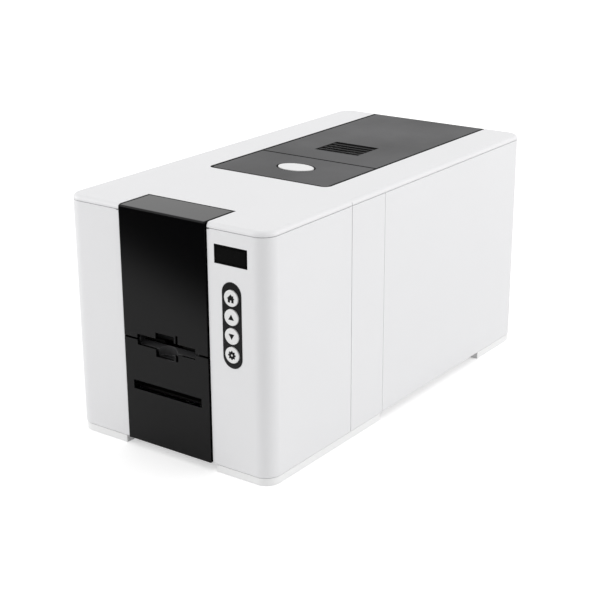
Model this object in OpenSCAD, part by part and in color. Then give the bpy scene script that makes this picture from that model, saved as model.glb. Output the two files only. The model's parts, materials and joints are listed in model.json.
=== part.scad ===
// Desktop card printer. +X is to the right seen from the front, +Y runs to the rear, +Z is up.
// The origin is at the middle of the whole object's base. Lengths are millimetres.
// Depths named ..._y are measured back from the white front face.
// Heights named ..._z in the sections below are measured up from the case bottom.

/* [Case] */
// Width over the side walls
case_w = 192.4; // [186:0.2:220]
// Depth from the front face to the rear face
case_d = 382.8; // [376:0.2:420]
// Height of the case walls, feet and cover left out
case_h = 185.3; // [183:0.1:210]
// Radius of the upright corners
corner_r = 13; // [9:0.5:20]
// Thickness of the case walls
wall_t = 2.5; // [2:0.1:3]
// Gap that shows between two panels
seam_gap = 0.35; // [0.3:0.05:0.6]
// Gap at the seam between the front housing and the pillars
pillar_gap = 0.6; // [0.3:0.05:0.8]
// Depth of the seam behind the front housing
pillar_y = 106.7; // [102:0.1:115]
// Depth of the seam in front of the side panels
panel_y = 153; // [145:0.5:165]
// Half width of the rear panel
rear_half_w = 79; // [77:0.5:81]
// Width of the lap behind each upright seam
lap_w = 12; // [8:0.5:16]
// Thickness of the lap behind each upright seam
lap_t = 2; // [1.5:0.1:3]

/* [Feet] */
// Height of the foot rails
foot_h = 6.8; // [5:0.1:9]
// Width of the foot rails
foot_w = 14; // [10:0.5:18]
// Inset of the foot rails from the case's outside
foot_inset = 0.5; // [0.3:0.1:3]
// Height and depth of the shadow groove round the top of the feet
foot_groove = 0.6; // [0.3:0.1:1]
// Half of the gap between the front feet
foot_gap_half = 45.5; // [40:0.5:60]
// Rear end of the front feet
front_foot_end = 150; // [100:1:170]
// Front end of the rear feet
rear_foot_start = 315; // [280:1:340]

/* [Cover] */
// Thickness of the cover at its rim
cover_h = 4.3; // [4:0.1:6]
// Radius along the cover's top edge
edge_r = 3.4; // [2.5:0.1:3.5]
// Thickness of the cover's top plate
cover_t = 2; // [1.5:0.1:2.2]
// Half width of the two inserts
insert_half_w = 58.6; // [55:0.1:62]
// Front edge of the front insert
insert_y = 127.3; // [122:0.1:132]
// Seam between the two inserts
insert_seam_y = 199.2; // [196:0.1:206]
// Thickness of the inserts
insert_t = 2.2; // [1.8:0.1:2.4]
// How far the inserts lie below the cover's top
insert_sink = 0.2; // [0.1:0.05:0.4]
// Radius of the front insert's front corners
insert_r = 5; // [4:0.5:10]
// Gap round the inserts and between them
insert_gap = 1; // [0.4:0.1:1]
// Depth of the slit in the rim above the first side seam
slit_depth = 0.9; // [0.5:0.1:1.5]

/* [Cover button and latch] */
// Sideways place of the button's middle
button_x = 1; // [-2:0.1:2]
// Depth of the button's middle
button_y = 166.3; // [164:0.1:170]
// Half width of the oval button
button_half_w = 16.3; // [14:0.1:18]
// Half depth of the oval button
button_half_d = 10.7; // [9:0.1:13]
// Gap round the button
button_gap = 0.8; // [0.4:0.1:1]
// Travel of the button
button_travel = 2; // [1:0.1:2.5]
// Height of the button above the cover
button_proud = 0.1; // [0:0.1:0.8]
// Distance from the button's centre back to the latch's pivot
latch_arm = 20.5; // [20:0.5:22]
// Width of the latch
latch_w = 16; // [10:1:24]
// Radius of the latch's pivot pin
latch_pin_r = 1.5; // [1:0.1:2]
// Depth of the keeper rod's axis
keeper_y = 140; // [138:0.5:141]
// Distance from the case top down to the keeper rod's axis
keeper_drop = 21.3; // [20.3:0.1:25]
// Radius of the keeper rod
keeper_r = 2.5; // [2:0.1:3]
// Gap between the latch's nose and the keeper rod
nose_gap = 1.2; // [1.1:0.1:2]

/* [Cover hinge] */
// Outer radius of the hinge barrels
barrel_r = 2.6; // [2.2:0.1:3]
// Radius of the hinge pins
hinge_pin_r = 1.2; // [1:0.1:1.4]
// Length of the cover's barrel
barrel_mid = 8; // [6:0.2:8.4]
// Length of each outer barrel
barrel_end = 5; // [3.5:0.1:5.2]
// Running clearance of every pin in its bore
run_gap = 0.05; // [0.03:0.01:0.08]
// Clearance between parts that move past each other
move_gap = 0.4; // [0.3:0.05:0.5]

/* [Vent and fan] */
// Sideways place of the vent
vent_x = -1.35; // [-6:0.05:6]
// Depth of the vent's middle
vent_y = 245; // [235:1:260]
// Length of each vent slot
vent_w = 43.3; // [34:0.1:46]
// Number of vent slots
vent_slots = 5; // [3:1:6]
// Distance between two vent slots
vent_pitch = 7; // [6:0.5:7.5]
// Width of a vent slot
vent_slot = 4.2; // [3:0.2:4.6]
// How far the bars between the slots lie below the insert's face
vent_sink = 0.4; // [0:0.1:0.6]
// Thickness of those bars
vent_bar_t = 0.9; // [0.6:0.1:1.6]
// Side of the square fan
fan_side = 40; // [36:1:44]
// Thickness of the fan
fan_h = 10; // [9:0.5:12]
// Thickness of the fan's wall at its thinnest
fan_wall = 1.4; // [1:0.1:2]
// Number of fan blades
fan_blades = 7; // [5:1:9]

/* [Front strip] */
// Width of the black strip
strip_w = 82.6; // [80:0.2:84]
// Gap on each side of the strip
strip_gap = 1; // [0.5:0.05:1]
// How far the strip stands in front of the white face
strip_proud = 1.2; // [1:0.1:2]
// How far the strip's top lies below the cover's top
strip_sink = 0.1; // [0:0.05:0.6]
// Thickness of the strip
strip_t = 3.2; // [2.8:0.1:3.4]
// Extra room between the housing and the door above it
door_relief = 0.6; // [0:0.1:1]
// Depth of the strip's rear edge on the top
strip_back = 34; // [30:0.5:40]
// Radius of the strip's fold
fold_r = 1.5; // [1:0.1:2.6]
// Height of the line where the door meets the lower panel
parting_z = 85.5; // [84:0.1:87]
// Gap between the door and the lower panel
parting_gap = 1.5; // [0.6:0.1:1.6]
// Radius of the door's hinge pins
door_pin_r = 0.9; // [0.8:0.05:1]

/* [Card mouth and slot] */
// Sideways place of the card mouth's middle
mouth_x = 0.5; // [-1:0.1:1]
// Width of the card mouth
mouth_w = 57; // [56:0.1:60]
// Height of the card mouth's lower edge
mouth_z = 80.9; // [80:0.1:82]
// Height of the card mouth
mouth_h = 8.7; // [8:0.1:10]
// Sideways place of the finger notch's middle
notch_x = -0.55; // [-2:0.05:2]
// Width of the finger notch
notch_w = 18.1; // [16:0.1:20]
// Height of the finger notch's lower edge
notch_z = 75; // [74.5:0.1:76]
// Height of the finger notch
notch_h = 19.5; // [18:0.1:21]
// Width of the web between the finger notch and the slit beside it
web_w = 1.7; // [1.2:0.1:2]
// Width of the slit beside the finger notch
slit_w = 2; // [1.6:0.1:2.4]
// Height of the slit beside the finger notch
slit_h = 21; // [20:0.1:22]
// Depth of the finger scoop in the mouth's lip
scoop_d = 3.9; // [3:0.1:4]
// Width of the lower slot
slot_w = 67.4; // [62:0.2:70]
// Height of the lower slot's middle
slot_z = 47.1; // [44:0.1:50]
// Height of the lower slot
slot_h = 7.4; // [7:0.1:8]

/* [Display and keys] */
// Distance from the case's side to the display window's middle
window_inset = 32.7; // [31:0.1:34]
// Distance from the case top down to the display window's middle
window_drop = 17.9; // [17:0.1:18.5]
// Width of the display window
window_w = 29.9; // [26:0.1:31]
// Height of the display window
window_h = 14.4; // [12:0.1:16]
// Thickness of the display window
window_t = 1.5; // [1:0.1:2]
// Distance from the case's side to the keys' middle
key_inset = 32.4; // [30:0.1:34]
// Distance from the display window's middle down to the highest key
key_drop = 31.05; // [30.5:0.05:32]
// Distance between two keys
key_pitch = 14.55; // [14.2:0.05:15]
// Radius of a key
key_r = 6.25; // [5.8:0.05:6.4]
// How far the keys stand in front of the white face
key_proud = 1.2; // [0.8:0.1:1.2]
// Travel of a key
key_travel = 0.7; // [0.4:0.1:0.7]
// Width of the key bezel
bezel_w = 17.3; // [16.6:0.1:18]
// Height of the key bezel
bezel_h = 66; // [64:0.1:67]
// How far the bezel stands in front of the white face
bezel_proud = 0.4; // [0.2:0.1:0.6]
// Depth of the control board's front
board_y = 8; // [7.8:0.1:9]

/* [Card path] */
// Height of the surface that cards slide on
path_z = 84.6; // [84.2:0.1:85]
// Width between the hopper's walls
hopper_in_w = 55.5; // [55:0.1:56]
// Thickness of the hopper's walls
hopper_t = 2; // [1.5:0.1:2.2]
// Depth of the hopper's front
hopper_y = 9.3; // [9.2:0.1:9.6]
// Depth of the hopper's rear
hopper_end = 99; // [98:0.5:101]
// Distance from the cover's underside down to the hopper's top
hopper_drop = 12.9; // [12:0.1:20]
// Height of the gate under the hopper's rear wall
gate_h = 1.2; // [1:0.1:1.5]
// Thickness of the card weight
weight_t = 6; // [4:0.5:8]
// Radius of the driven rollers
roll_r = 8; // [7.6:0.1:8.2]
// Radius of the driven shafts
shaft_r = 3; // [2.5:0.1:3.5]
// Radius of the pinch rollers
pinch_r = 5; // [4.5:0.1:5.2]
// Radius of the cleaning roller
clean_r = 6; // [5.5:0.1:6.2]
// Radius of the idle shafts
idle_r = 2.5; // [2:0.1:2.6]
// Space left for a card between two rollers
nip_gap = 1.1; // [0.9:0.1:1.3]
// Half length of the rollers
roll_half = 30; // [26:1:32]
// Depth of the pick roller
pick_y = 62; // [50:1:70]
// Half length of the pick roller
pick_half = 10; // [8:1:14]
// Distance from the hopper's rear back to the feed roller
feed_off = 19; // [18:0.5:21]
// Distance from the feed roller back to the cleaning roller
clean_off = 25; // [23:0.5:26]
// Distance from the cleaning roller back to the platen roller
platen_off = 45; // [43:0.5:46]
// Distance from the platen roller back to the exit roller
exit_off = 28; // [26:0.5:30]
// Distance from the exit roller back to the diverter's pivot
diverter_off = 80; // [76:1:82]
// Length of the diverter
diverter_l = 62; // [58:1:63]

/* [Side plates] */
// Half width between the side plates
plate_half = 44; // [42:0.5:44]
// Thickness of the side plates
plate_t = 2; // [1.5:0.1:2.5]
// Depth of the side plates' front
plate_y = 11; // [10.5:0.5:14]
// Distance from the diverter's pivot back to the side plates' end
plate_rear = 10; // [8:1:20]
// Width of the side plates' foot flange
flange_w = 8; // [6:0.5:12]
// Radius of the cross ties
tie_r = 3; // [2:0.1:4]

/* [Drive] */
// Radius of the pulleys
pulley_r = 7; // [6.5:0.1:7.4]
// Width of the pulleys
pulley_w = 6; // [5:0.5:6.5]
// Space between a side plate and the first pulley
pulley_gap = 4; // [3:0.5:5]
// Thickness of the belts
belt_t = 1.2; // [0.8:0.1:1.6]
// Depth of the motor's axis
motor_y = 150; // [140:1:154]
// Height of the motor's axis
motor_z = 28; // [27:0.5:30]
// Side of the square motor
motor_side = 42; // [38:1:42]
// Length of the motor
motor_l = 38; // [30:1:44]
// Radius of the motor's shaft
motor_shaft_r = 2.5; // [2:0.1:3]
// Radius of the motor's centring boss
motor_boss_r = 11; // [9:0.5:12]

/* [Ribbon and print head] */
// Half width over the cassette's side plates
cassette_half = 38; // [37:0.5:39]
// Thickness of the cassette's side plates
cassette_t = 2; // [1.5:0.1:2.5]
// Radius of the spool journals
journal_r = 3; // [2.5:0.1:3.5]
// Half width of the ribbon film
film_half = 31; // [28:0.5:32]
// Distance from the platen roller forward to the take-up spool
takeup_off = 36; // [35:0.5:38]
// Radius of the film on the take-up spool
takeup_r = 8; // [7:0.5:9]
// Distance from the platen roller back to the supply spool
supply_off = 43; // [42:0.5:46]
// Radius of the film on the supply spool
supply_r = 16; // [12:0.5:16.5]
// Height of the spool axes above the path
spool_z = 32; // [31:0.5:34]
// Radius of the spool cores
core_r = 6; // [5:0.5:6.5]
// Radius of the film guides
guide_r = 2; // [1.5:0.1:2.4]
// Distance of the film guides from the platen's axis
guide_off = 18; // [17:0.5:20]
// Thickness of the film
film_t = 0.3; // [0.25:0.05:0.35]
// Half width of the print head
head_half = 30; // [27:0.5:32]
// Thickness of the print head's bracket
bracket_t = 2; // [1.5:0.1:3]

/* [Rear panel] */
// Sideways place of the power switch
switch_x = 50; // [44:1:56]
// Height of the power switch and the sockets
socket_z = 24; // [20:1:30]
// Radius of the screw heads
screw_head_r = 3; // [2.5:0.1:3.5]
// Radius of the screw shanks
screw_r = 1.5; // [1.2:0.1:1.7]
// Distance between two rear screws, and from the case bottom to the lower ones
rear_screw_pitch = 57; // [50:1:70]
// Distance from the rear panel's sides to its screws
rear_screw_inset = 5; // [4:0.5:6]
// Depth of the sockets and the switch behind the rear face
socket_depth = 14; // [12:0.5:18]
// Sideways place of the power socket
jack_x = -56; // [-60:1:-52]
// Sideways place of the data socket
usb_x = -34; // [-38:1:-30]
// Sideways place of the network socket
lan_x = -12; // [-16:1:-8]
// Half height of the rocker
rocker_half = 5.5; // [4:0.5:6]
// Tilt of the rocker at rest
rocker_tilt = 8; // [6:1:9]
// Height of the rear vent's lower edge
rear_vent_z = 100; // [90:1:110]
// Height of the rear vent
rear_vent_h = 30; // [20:1:40]
// Width of a rear vent slot
rear_vent_slot = 6; // [4:0.5:8]
// Distance between two rear vent slots
rear_vent_pitch = 12; // [10:0.5:14]
// Number of rear vent slots
rear_vent_slots = 8; // [4:1:8]

/* [Hidden] */
$fn = 48;

// Frame: depth 0 is the white front face; the hinge barrels are the rearmost point.
front_y = -(case_d + barrel_r - strip_proud) / 2;
half_w = case_w / 2;
deck_z = foot_h + wall_t;
wall_top = foot_h + case_h - seam_gap / 2;
groove_depth = 2 * foot_groove;
cover_z = wall_top + seam_gap;
cover_top = foot_h + case_h + cover_h;
cover_tall = cover_top - cover_z;
insert_top = cover_top - insert_sink;
insert_z = insert_top - insert_t;
inner_y = case_d - wall_t;

// Front strip
strip_half = strip_w / 2;
channel_half = strip_half + strip_gap;
strip_gap_back = 0.3;
channel_y = strip_t - strip_proud + strip_gap_back;
channel_end = channel_y + wall_t;
strip_top = cover_top - strip_sink;
door_z = foot_h + parting_z + parting_gap / 2;
door_axis_y = strip_back - strip_t / 2;
door_axis_z = strip_top - strip_t / 2;
liner_z = notch_z - 1.6;
liner_side = 1.2;
land_t = 0.5;
parting_fall = 3;
ramp_low = mouth_z - 0.6;
ramp_top = mouth_z + 2.2;
ramp_end = channel_y + 4.1;
ramp_crest = 1.2;
ramp_floor = mouth_z - 2;
scoop_half = notch_w / 2 + 0.55;
scoop_rest = sqrt(1 - pow(notch_w / 2 / scoop_half, 2));
scoop_reach = scoop_d / (1 - scoop_rest);
slit_x = notch_x + notch_w / 2 + web_w;
window_top_z = case_h - 8;
window_z = case_h - window_drop;
key_z = window_z - key_drop - 3 * key_pitch;
window_x = half_w - window_inset;
key_x = half_w - key_inset;

// Cover hinge
hinge_y = case_d;
hinge_z = wall_top + seam_gap / 2;
barrel_gap = 0.3;
hinge_half = barrel_mid / 2 + barrel_gap + barrel_end;
hinge_x = rear_half_w - hinge_half - seam_gap;
hinge_pad_h = 10;

// Rear panel: half width and half height of each socket
rear_screw_x = rear_half_w - rear_screw_inset;
screw_head_t = 1.8;
jack_half = [5.5, 6];
usb_half = [6.5, 6];
lan_half = [8.5, 7];
switch_half = [10.5, 7];
socket_back = 2;
socket_sink = 0.4;
switch_rim_t = 1;
rocker_sink = 5;
rocker_pin_r = 1.2;

// Button and latch
keeper_z = case_h - keeper_drop;
button_flange = 1;
button_wall = 1.6;
flange_grow = button_gap + 1.5;
stem_r = 2;
button_flange_z = cover_z - 0.3 - button_flange;
button_stem_z = cover_z - 3 - button_travel;
latch_pin_y = button_y + latch_arm;
latch_top = button_stem_z - 0.5;
latch_eye = 1.5;
latch_z = latch_top - latch_pin_r - latch_eye;
latch_t = 3;
hook_t = 3;
nose_l = 1.8;
nose_h = 2.5;
nose_clear = 0.5;
hook_y = keeper_y + keeper_r + nose_gap + nose_l;
ear_t = 3;
ear_half = 4;
ear_x = latch_w / 2 + 0.3;

// Fan
fan_z = cover_z - fan_h;
fan_bore_r = fan_side / 2 - fan_wall;
hub_r = 9;
fan_pin_r = 1.5;
strut_w = 2.5;
strut_t = 1.5;
blade_chord = 9;
blade_t = 1;
blade_angle = 40;

// Keys
key_hole_r = key_r + 0.3;
key_flange_r = key_r + 0.65;
key_flange_y = wall_t + 0.3;
key_flange_end = key_flange_y + 0.9;
key_stem_r = 2;
key_switch_r = 3;
key_switch_h = 2.1;
stem_end = board_y - key_switch_h - key_travel - 0.1;
bezel_z = key_z + 1.5 * key_pitch + 0.6;
bezel_gap = 0.1;
window_sink = 0.1;
board_half = 16;
board_t = 1.6;
boss_off = 13;
boss_r = 2.5;
boss_low = key_z - 4;
boss_high = window_z + 9;

// Card path
feed_y = hopper_end + feed_off;
clean_y = feed_y + clean_off;
platen_y = clean_y + platen_off;
exit_y = platen_y + exit_off;
diverter_y = exit_y + diverter_off;
plate_end = diverter_y + plate_rear;
takeup_y = platen_y - takeup_off;
supply_y = platen_y + supply_off;
floor_z = foot_h + path_z;
row_z = floor_z - roll_r - 0.1;
pinch_z = floor_z + nip_gap + pinch_r;
clean_z = floor_z + nip_gap + clean_r;
hopper_half = hopper_in_w / 2 + hopper_t;
hopper_top = cover_z - hopper_drop;
hopper_lip = 5;
hopper_ear = 10;
finger_room = 16;
bore_r = shaft_r + run_gap;
idle_bore_r = idle_r + run_gap;
shaft_end = plate_half + plate_t + 2;
plate_low = 40;
plate_mid = 56;
keeper_tab = 8;
chute_half = slot_w / 2 + 0.3;
chute_gap = slot_h - 1.4;
chute_t = 1.5;
chute_ear_y = 30;
chute_ear_l = 12;
slot_margin = 3.4;
chute_start = channel_end + 0.4;
chute_end = exit_y + 14;
chute_slope = 4.1;
diverter_axis_z = floor_z - 4.5;

// Main board
board_lift = 5;
chip_w = 20;
chip_t = 2.4;
driver_w = 13;
cap_r = 4;
cap_h = 11.4;
cap_pitch = 12;
header_w = 6;
header_l = 50;
header_h = 8.4;
header_y = 20;

// Cross ties
tie_inset = 12;
tie_lift = 20;

// Drive
pulley_x = -(plate_half + plate_t + pulley_gap + pulley_w);
outer_pulley_x = pulley_x - 2 - pulley_w;
belt_r = pulley_r + 0.3;
belt_side = 0.3;
motor_axis_z = foot_h + motor_z;

// Ribbon and print head
spool_axis_z = floor_z + spool_z;
guide_z = floor_z + 8;
film_z = floor_z + 0.9;
film_flat = 6;
cassette_z = floor_z + 14;
cassette_top = spool_axis_z + supply_r;
grip_bar_r = 2.5;
head_z = film_z + film_t + 0.35;
bracket_y = platen_y + 5;
bracket_foot = 12;
fins = 5;
fin_pitch = 4;
fin_t = 1.5;
head_front = 4;
head_back_t = 3;
head_bar_t = 5;
bracket_lift = 8;
journal_bore_r = journal_r + run_gap;

function at_y(y) = front_y + y;

module block(x0, x1, y0, y1, z0, z1) {
    translate([x0, at_y(y0), z0]) cube([x1 - x0, y1 - y0, z1 - z0]);
}

module rod_x(x0, x1, y, z, r) {
    translate([x0, at_y(y), z]) rotate([0, 90, 0]) cylinder(r = r, h = x1 - x0);
}

module rod_y(y0, y1, x, z, r) {
    translate([x, at_y(y0), z]) rotate([-90, 0, 0]) cylinder(r = r, h = y1 - y0);
}

module rod_z(z0, z1, x, y, r) {
    translate([x, at_y(y), z0]) cylinder(r = r, h = z1 - z0);
}

// Plan of the case, drawn in by inset
module outline(inset = 0) {
    w = case_w - 2 * inset;
    d = case_d - 2 * inset;
    r = max(corner_r - inset, 1);
    translate([0, at_y(case_d / 2)]) {
        square([w - 2 * r, d], center = true);
        square([w, d - 2 * r], center = true);
        for (sx = [-1, 1], sy = [-1, 1])
            translate([sx * (w / 2 - r), sy * (d / 2 - r)]) circle(r = r, $fn = 96);
    }
}

module wall_ring(z0, z1, outer = 0, thick = wall_t) {
    translate([0, 0, z0]) linear_extrude(z1 - z0) difference() {
        outline(outer);
        outline(outer + thick);
    }
}

// Section of a rounded edge, which reaches into the slab beside it
module edge_section(r) {
    intersection() {
        circle(r = r, $fn = 64);
        square(r);
    }
    translate([-1, 0]) square([1, r]);
}

// Slab on the case's plan with a rounded top edge
module rounded_slab(h, r) {
    linear_extrude(h - r) outline(0);
    linear_extrude(h) outline(r);
    translate([0, at_y(case_d / 2), h - r]) {
        for (s = [0, 180]) rotate([0, 0, s]) {
            translate([half_w - r, corner_r - case_d / 2, 0]) rotate([90, 0, 180])
                mirror([1, 0, 0]) linear_extrude(case_d - 2 * corner_r) edge_section(r);
            translate([corner_r - half_w, case_d / 2 - r, 0]) rotate([90, 0, 90])
                linear_extrude(case_w - 2 * corner_r) edge_section(r);
        }
        for (k = [0:3]) {
            sx = (k == 0 || k == 3) ? 1 : -1;
            sy = k < 2 ? 1 : -1;
            translate([sx * (half_w - corner_r), sy * (case_d / 2 - corner_r), 0]) rotate([0, 0, 90 * k])
                rotate_extrude(angle = 90, $fn = 96) translate([corner_r - r, 0]) edge_section(r);
        }
    }
}

// Upright plate in the plane of the front, with round ends
module stadium_y(w, h, x, z, y0, y1) {
    translate([x, at_y(y1), z]) rotate([90, 0, 0]) linear_extrude(y1 - y0) {
        square([w, h - w], center = true);
        for (s = [-1, 1]) translate([0, s * (h - w) / 2]) circle(r = w / 2);
    }
}

// ---- Case ----

module base_pan() {
    color("gainsboro") difference() {
        translate([0, 0, foot_h]) linear_extrude(wall_t) outline(wall_t);
        block(-channel_half - wall_t, channel_half + wall_t, 0, channel_end, foot_h - 1, deck_z + 1);
    }
}

module feet(y0, y1, gap_half) {
    intersection() {
        union() {
            wall_ring(0, foot_h - foot_groove, foot_inset, foot_w);
            wall_ring(0, foot_h, foot_inset + groove_depth, foot_w - 2 * groove_depth);
        }
        for (s = [-1, 1]) mirror([s < 0 ? 1 : 0, 0, 0])
            block(gap_half, half_w, y0, y1, 0, foot_h);
    }
}

module front_feet() {
    color("whitesmoke") feet(0, front_foot_end, foot_gap_half);
}

module rear_feet() {
    color("whitesmoke") feet(rear_foot_start, case_d, rear_half_w - 30);
}

module lap(y, side) {
    mirror([side < 0 ? 1 : 0, 0, 0])
        block(half_w - wall_t - lap_t, half_w - wall_t, y - lap_w / 2, y + lap_w / 2, deck_z, wall_top);
}

module lap_root(y, side) {
    mirror([side < 0 ? 1 : 0, 0, 0])
        block(half_w - wall_t - lap_t, half_w - wall_t / 2, y - lap_w / 2, y - seam_gap, deck_z, wall_top);
}

module front_housing() {
    color("white") difference() {
        union() {
            intersection() {
                wall_ring(foot_h, wall_top);
                block(-half_w, half_w, 0, pillar_y - pillar_gap / 2, 0, cover_top);
            }
            block(-channel_half - wall_t, channel_half + wall_t, 0, channel_end, foot_h, wall_top);
            for (side = [-1, 1]) {
                lap(pillar_y, side);
                lap_root(pillar_y, side);
            }
            for (dx = [-boss_off, boss_off], z = [boss_low, boss_high])
                rod_y(wall_t / 2, board_y, key_x + dx, foot_h + z, boss_r);
        }
        block(-channel_half, channel_half, -1, channel_y, 0, cover_top);
        block(-channel_half - wall_t, channel_half + wall_t, -1, channel_end + 1,
            wall_top - door_relief, cover_top);
        block(mouth_x - mouth_w / 2 - liner_side, mouth_x + mouth_w / 2 + liner_side, 0, channel_end + 1,
            foot_h + liner_z, foot_h + window_top_z);
        block(-channel_half, channel_half, 0, channel_end + 1,
            foot_h + parting_z - parting_fall, foot_h + mouth_z + mouth_h + 1);
        slot_block(slot_margin, 0, channel_end + 1);
        block(window_x - window_w / 2, window_x + window_w / 2, -1, wall_t + 1,
            foot_h + window_z - window_h / 2, foot_h + window_z + window_h / 2);
        stadium_y(bezel_w + 2 * bezel_gap, bezel_h + 2 * bezel_gap, key_x, foot_h + bezel_z, -1, wall_t + 1);
    }
}

// Mouth, finger notch and the slit beside it, cut from the door and from the panel under it
module mouth_cut(y0, y1) {
    z = foot_h + notch_z;
    block(mouth_x - mouth_w / 2, mouth_x + mouth_w / 2, y0, y1,
        foot_h + mouth_z, foot_h + mouth_z + mouth_h);
    block(notch_x - notch_w / 2, notch_x + notch_w / 2, y0, y1, z, z + notch_h);
    block(slit_x, slit_x + slit_w, y0, y1, z, z + slit_h);
}

module slot_block(grow, y0, y1) {
    block(-slot_w / 2 - grow, slot_w / 2 + grow, y0, y1,
        foot_h + slot_z - slot_h / 2 - grow, foot_h + slot_z + slot_h / 2 + grow);
}

// Upright section in depth and height above the feet, drawn out from x0 to x1
module cross_bar(x0, x1, points) {
    translate([x0, at_y(0), foot_h]) rotate([90, 0, 90]) linear_extrude(x1 - x0)
        polygon(points);
}

module mouth_bar(points) {
    cross_bar(mouth_x - mouth_w / 2, mouth_x + mouth_w / 2, points);
}

// Edge cut back from z, down and to the rear, behind a narrow land
module back_fall(x0, x1, z, depth, drop) {
    land_y = land_t - strip_proud;
    cross_bar(x0, x1, [[land_y, z], [land_y, z + 1], [land_y + depth, z + 1], [land_y + depth, z - drop]]);
}

module lower_panel() {
    fall = channel_y + 1 - land_t + strip_proud;
    slot_low = slot_z - slot_h / 2;
    top = parting_z - parting_gap / 2;
    color([0.13, 0.13, 0.13]) difference() {
        union() {
            block(-strip_half, strip_half, -strip_proud, channel_y,
                foot_h, foot_h + top);
            slot_block(slot_margin, 0, channel_end);
        }
        mouth_cut(-strip_proud - 1, channel_y + 1);
        back_fall(mouth_x - mouth_w / 2, mouth_x + mouth_w / 2, mouth_z, fall, fall);
        back_fall(-strip_half - 1, strip_half + 1, top, fall, parting_fall);
        back_fall(-slot_w / 2, slot_w / 2, slot_low, channel_end + strip_proud, slot_margin - 0.8);
        slot_block(0, -strip_proud - 1, channel_end + 1);
    }
}

module mouth_liner() {
    side_x = mouth_w / 2 + liner_side;
    nose = 2;
    crest_y = ramp_end + ramp_crest;
    color([0.1, 0.1, 0.1]) {
        difference() {
            mouth_bar([[channel_y, liner_z], [channel_y, ramp_low], [ramp_end, ramp_top],
                [crest_y, ramp_top], [crest_y, ramp_floor], [hopper_y, ramp_floor], [hopper_y, liner_z]]);
            for (x = [[-side_x, notch_x - notch_w / 2 - nose], [slit_x + slit_w + nose, side_x]])
                intersection() {
                    block(x[0], x[1], 0, hopper_y, foot_h, cover_z);
                    mouth_bar([[channel_y - 1, liner_z + 1], [channel_y - 1, ramp_low + 1],
                        [channel_y, ramp_low], [channel_y + nose, ramp_low - nose],
                        [channel_y + nose, liner_z + 1]]);
                }
            translate([notch_x, at_y(channel_y + scoop_d - scoop_reach), foot_h + notch_z])
                linear_extrude(ramp_top + 1 - notch_z) scale([scoop_half, scoop_reach]) circle(r = 1);
        }
        for (s = [-1, 1]) translate([mouth_x + s * (side_x - liner_side / 2), 0, 0])
            block(-liner_side / 2, liner_side / 2, channel_y, hopper_y,
                foot_h + liner_z, foot_h + mouth_z + mouth_h + 1);
    }
}

module pillar(side) {
    color("white") {
        intersection() {
            wall_ring(foot_h, wall_top);
            mirror([side < 0 ? 1 : 0, 0, 0])
                block(0, half_w, pillar_y + pillar_gap / 2, panel_y - seam_gap / 2, 0, cover_top);
        }
        lap(panel_y, side);
        lap_root(panel_y, side);
    }
}

module pillar_left() { pillar(-1); }
module pillar_right() { pillar(1); }

module side_panel(side) {
    color("white") intersection() {
        wall_ring(foot_h, wall_top);
        mirror([side < 0 ? 1 : 0, 0, 0])
            block(rear_half_w + seam_gap / 2, half_w, panel_y + seam_gap / 2, case_d, 0, cover_top);
    }
}

module side_panel_left() { side_panel(-1); }
module side_panel_right() { side_panel(1); }

module barrels(r, inner) {
    for (s = [-1, 1]) translate([s * hinge_x, 0, 0]) {
        if (inner) rod_x(-barrel_mid / 2, barrel_mid / 2, hinge_y, hinge_z, r);
        else for (k = [-1, 1]) translate([k * (hinge_half - barrel_end / 2), 0, 0])
            rod_x(-barrel_end / 2, barrel_end / 2, hinge_y, hinge_z, r);
    }
}

// Room round a hinge barrel, cut from the part that it turns against
module barrel_room(inner) {
    half = ((inner ? barrel_mid : barrel_end) + move_gap) / 2 + 0.1;
    for (s = [-1, 1], k = inner ? [0] : [-1, 1])
        translate([s * hinge_x + k * (hinge_half - barrel_end / 2), 0, 0])
            rod_x(-half, half, hinge_y, hinge_z, barrel_r + move_gap);
}

module rear_panel() {
    color("white") difference() {
        union() {
            intersection() {
                wall_ring(foot_h, wall_top);
                block(-rear_half_w, rear_half_w, case_d - corner_r, case_d, foot_h, wall_top);
            }
            intersection() {
                translate([0, 0, deck_z]) linear_extrude(wall_top - deck_z) outline(wall_t);
                for (s = [-1, 1]) mirror([s < 0 ? 1 : 0, 0, 0])
                    block(rear_half_w - lap_w, rear_half_w + lap_w / 2,
                        inner_y - lap_t, inner_y, deck_z, wall_top);
            }
            barrels(barrel_r, false);
            for (s = [-1, 1]) translate([s * hinge_x, 0, 0])
                block(-hinge_half, hinge_half, inner_y - lap_t, inner_y + 1,
                    wall_top - hinge_pad_h, wall_top);
        }
        barrels(hinge_pin_r, false);
        barrel_room(true);
        for (s = [-1, 1], k = [1, 2])
            rod_y(inner_y - lap_t - 1, case_d + 1, s * rear_screw_x, foot_h + rear_screw_pitch * k, screw_r);
        socket_block(jack_x, jack_half, inner_y - 1, case_d + 1);
        socket_block(usb_x, usb_half, inner_y - 1, case_d + 1);
        socket_block(lan_x, lan_half, inner_y - 1, case_d + 1);
        socket_block(switch_x, switch_half, inner_y - 1, case_d + 1);
        for (k = [0:rear_vent_slots - 1])
            translate([(k - (rear_vent_slots - 1) / 2) * rear_vent_pitch, 0, 0])
                block(-rear_vent_slot / 2, rear_vent_slot / 2, inner_y - 1, case_d + 1,
                    foot_h + rear_vent_z, foot_h + rear_vent_z + rear_vent_h);
    }
}

module rear_screws() {
    color("silver") for (s = [-1, 1], k = [1, 2]) {
        rod_y(inner_y - lap_t, case_d, s * rear_screw_x, foot_h + rear_screw_pitch * k, screw_r);
        rod_y(case_d, case_d + screw_head_t, s * rear_screw_x, foot_h + rear_screw_pitch * k, screw_head_r);
    }
}

module socket_block(x, half, y0, y1) {
    z = foot_h + socket_z;
    block(x - half[0], x + half[0], y0, y1, z - half[1], z + half[1]);
}

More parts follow.
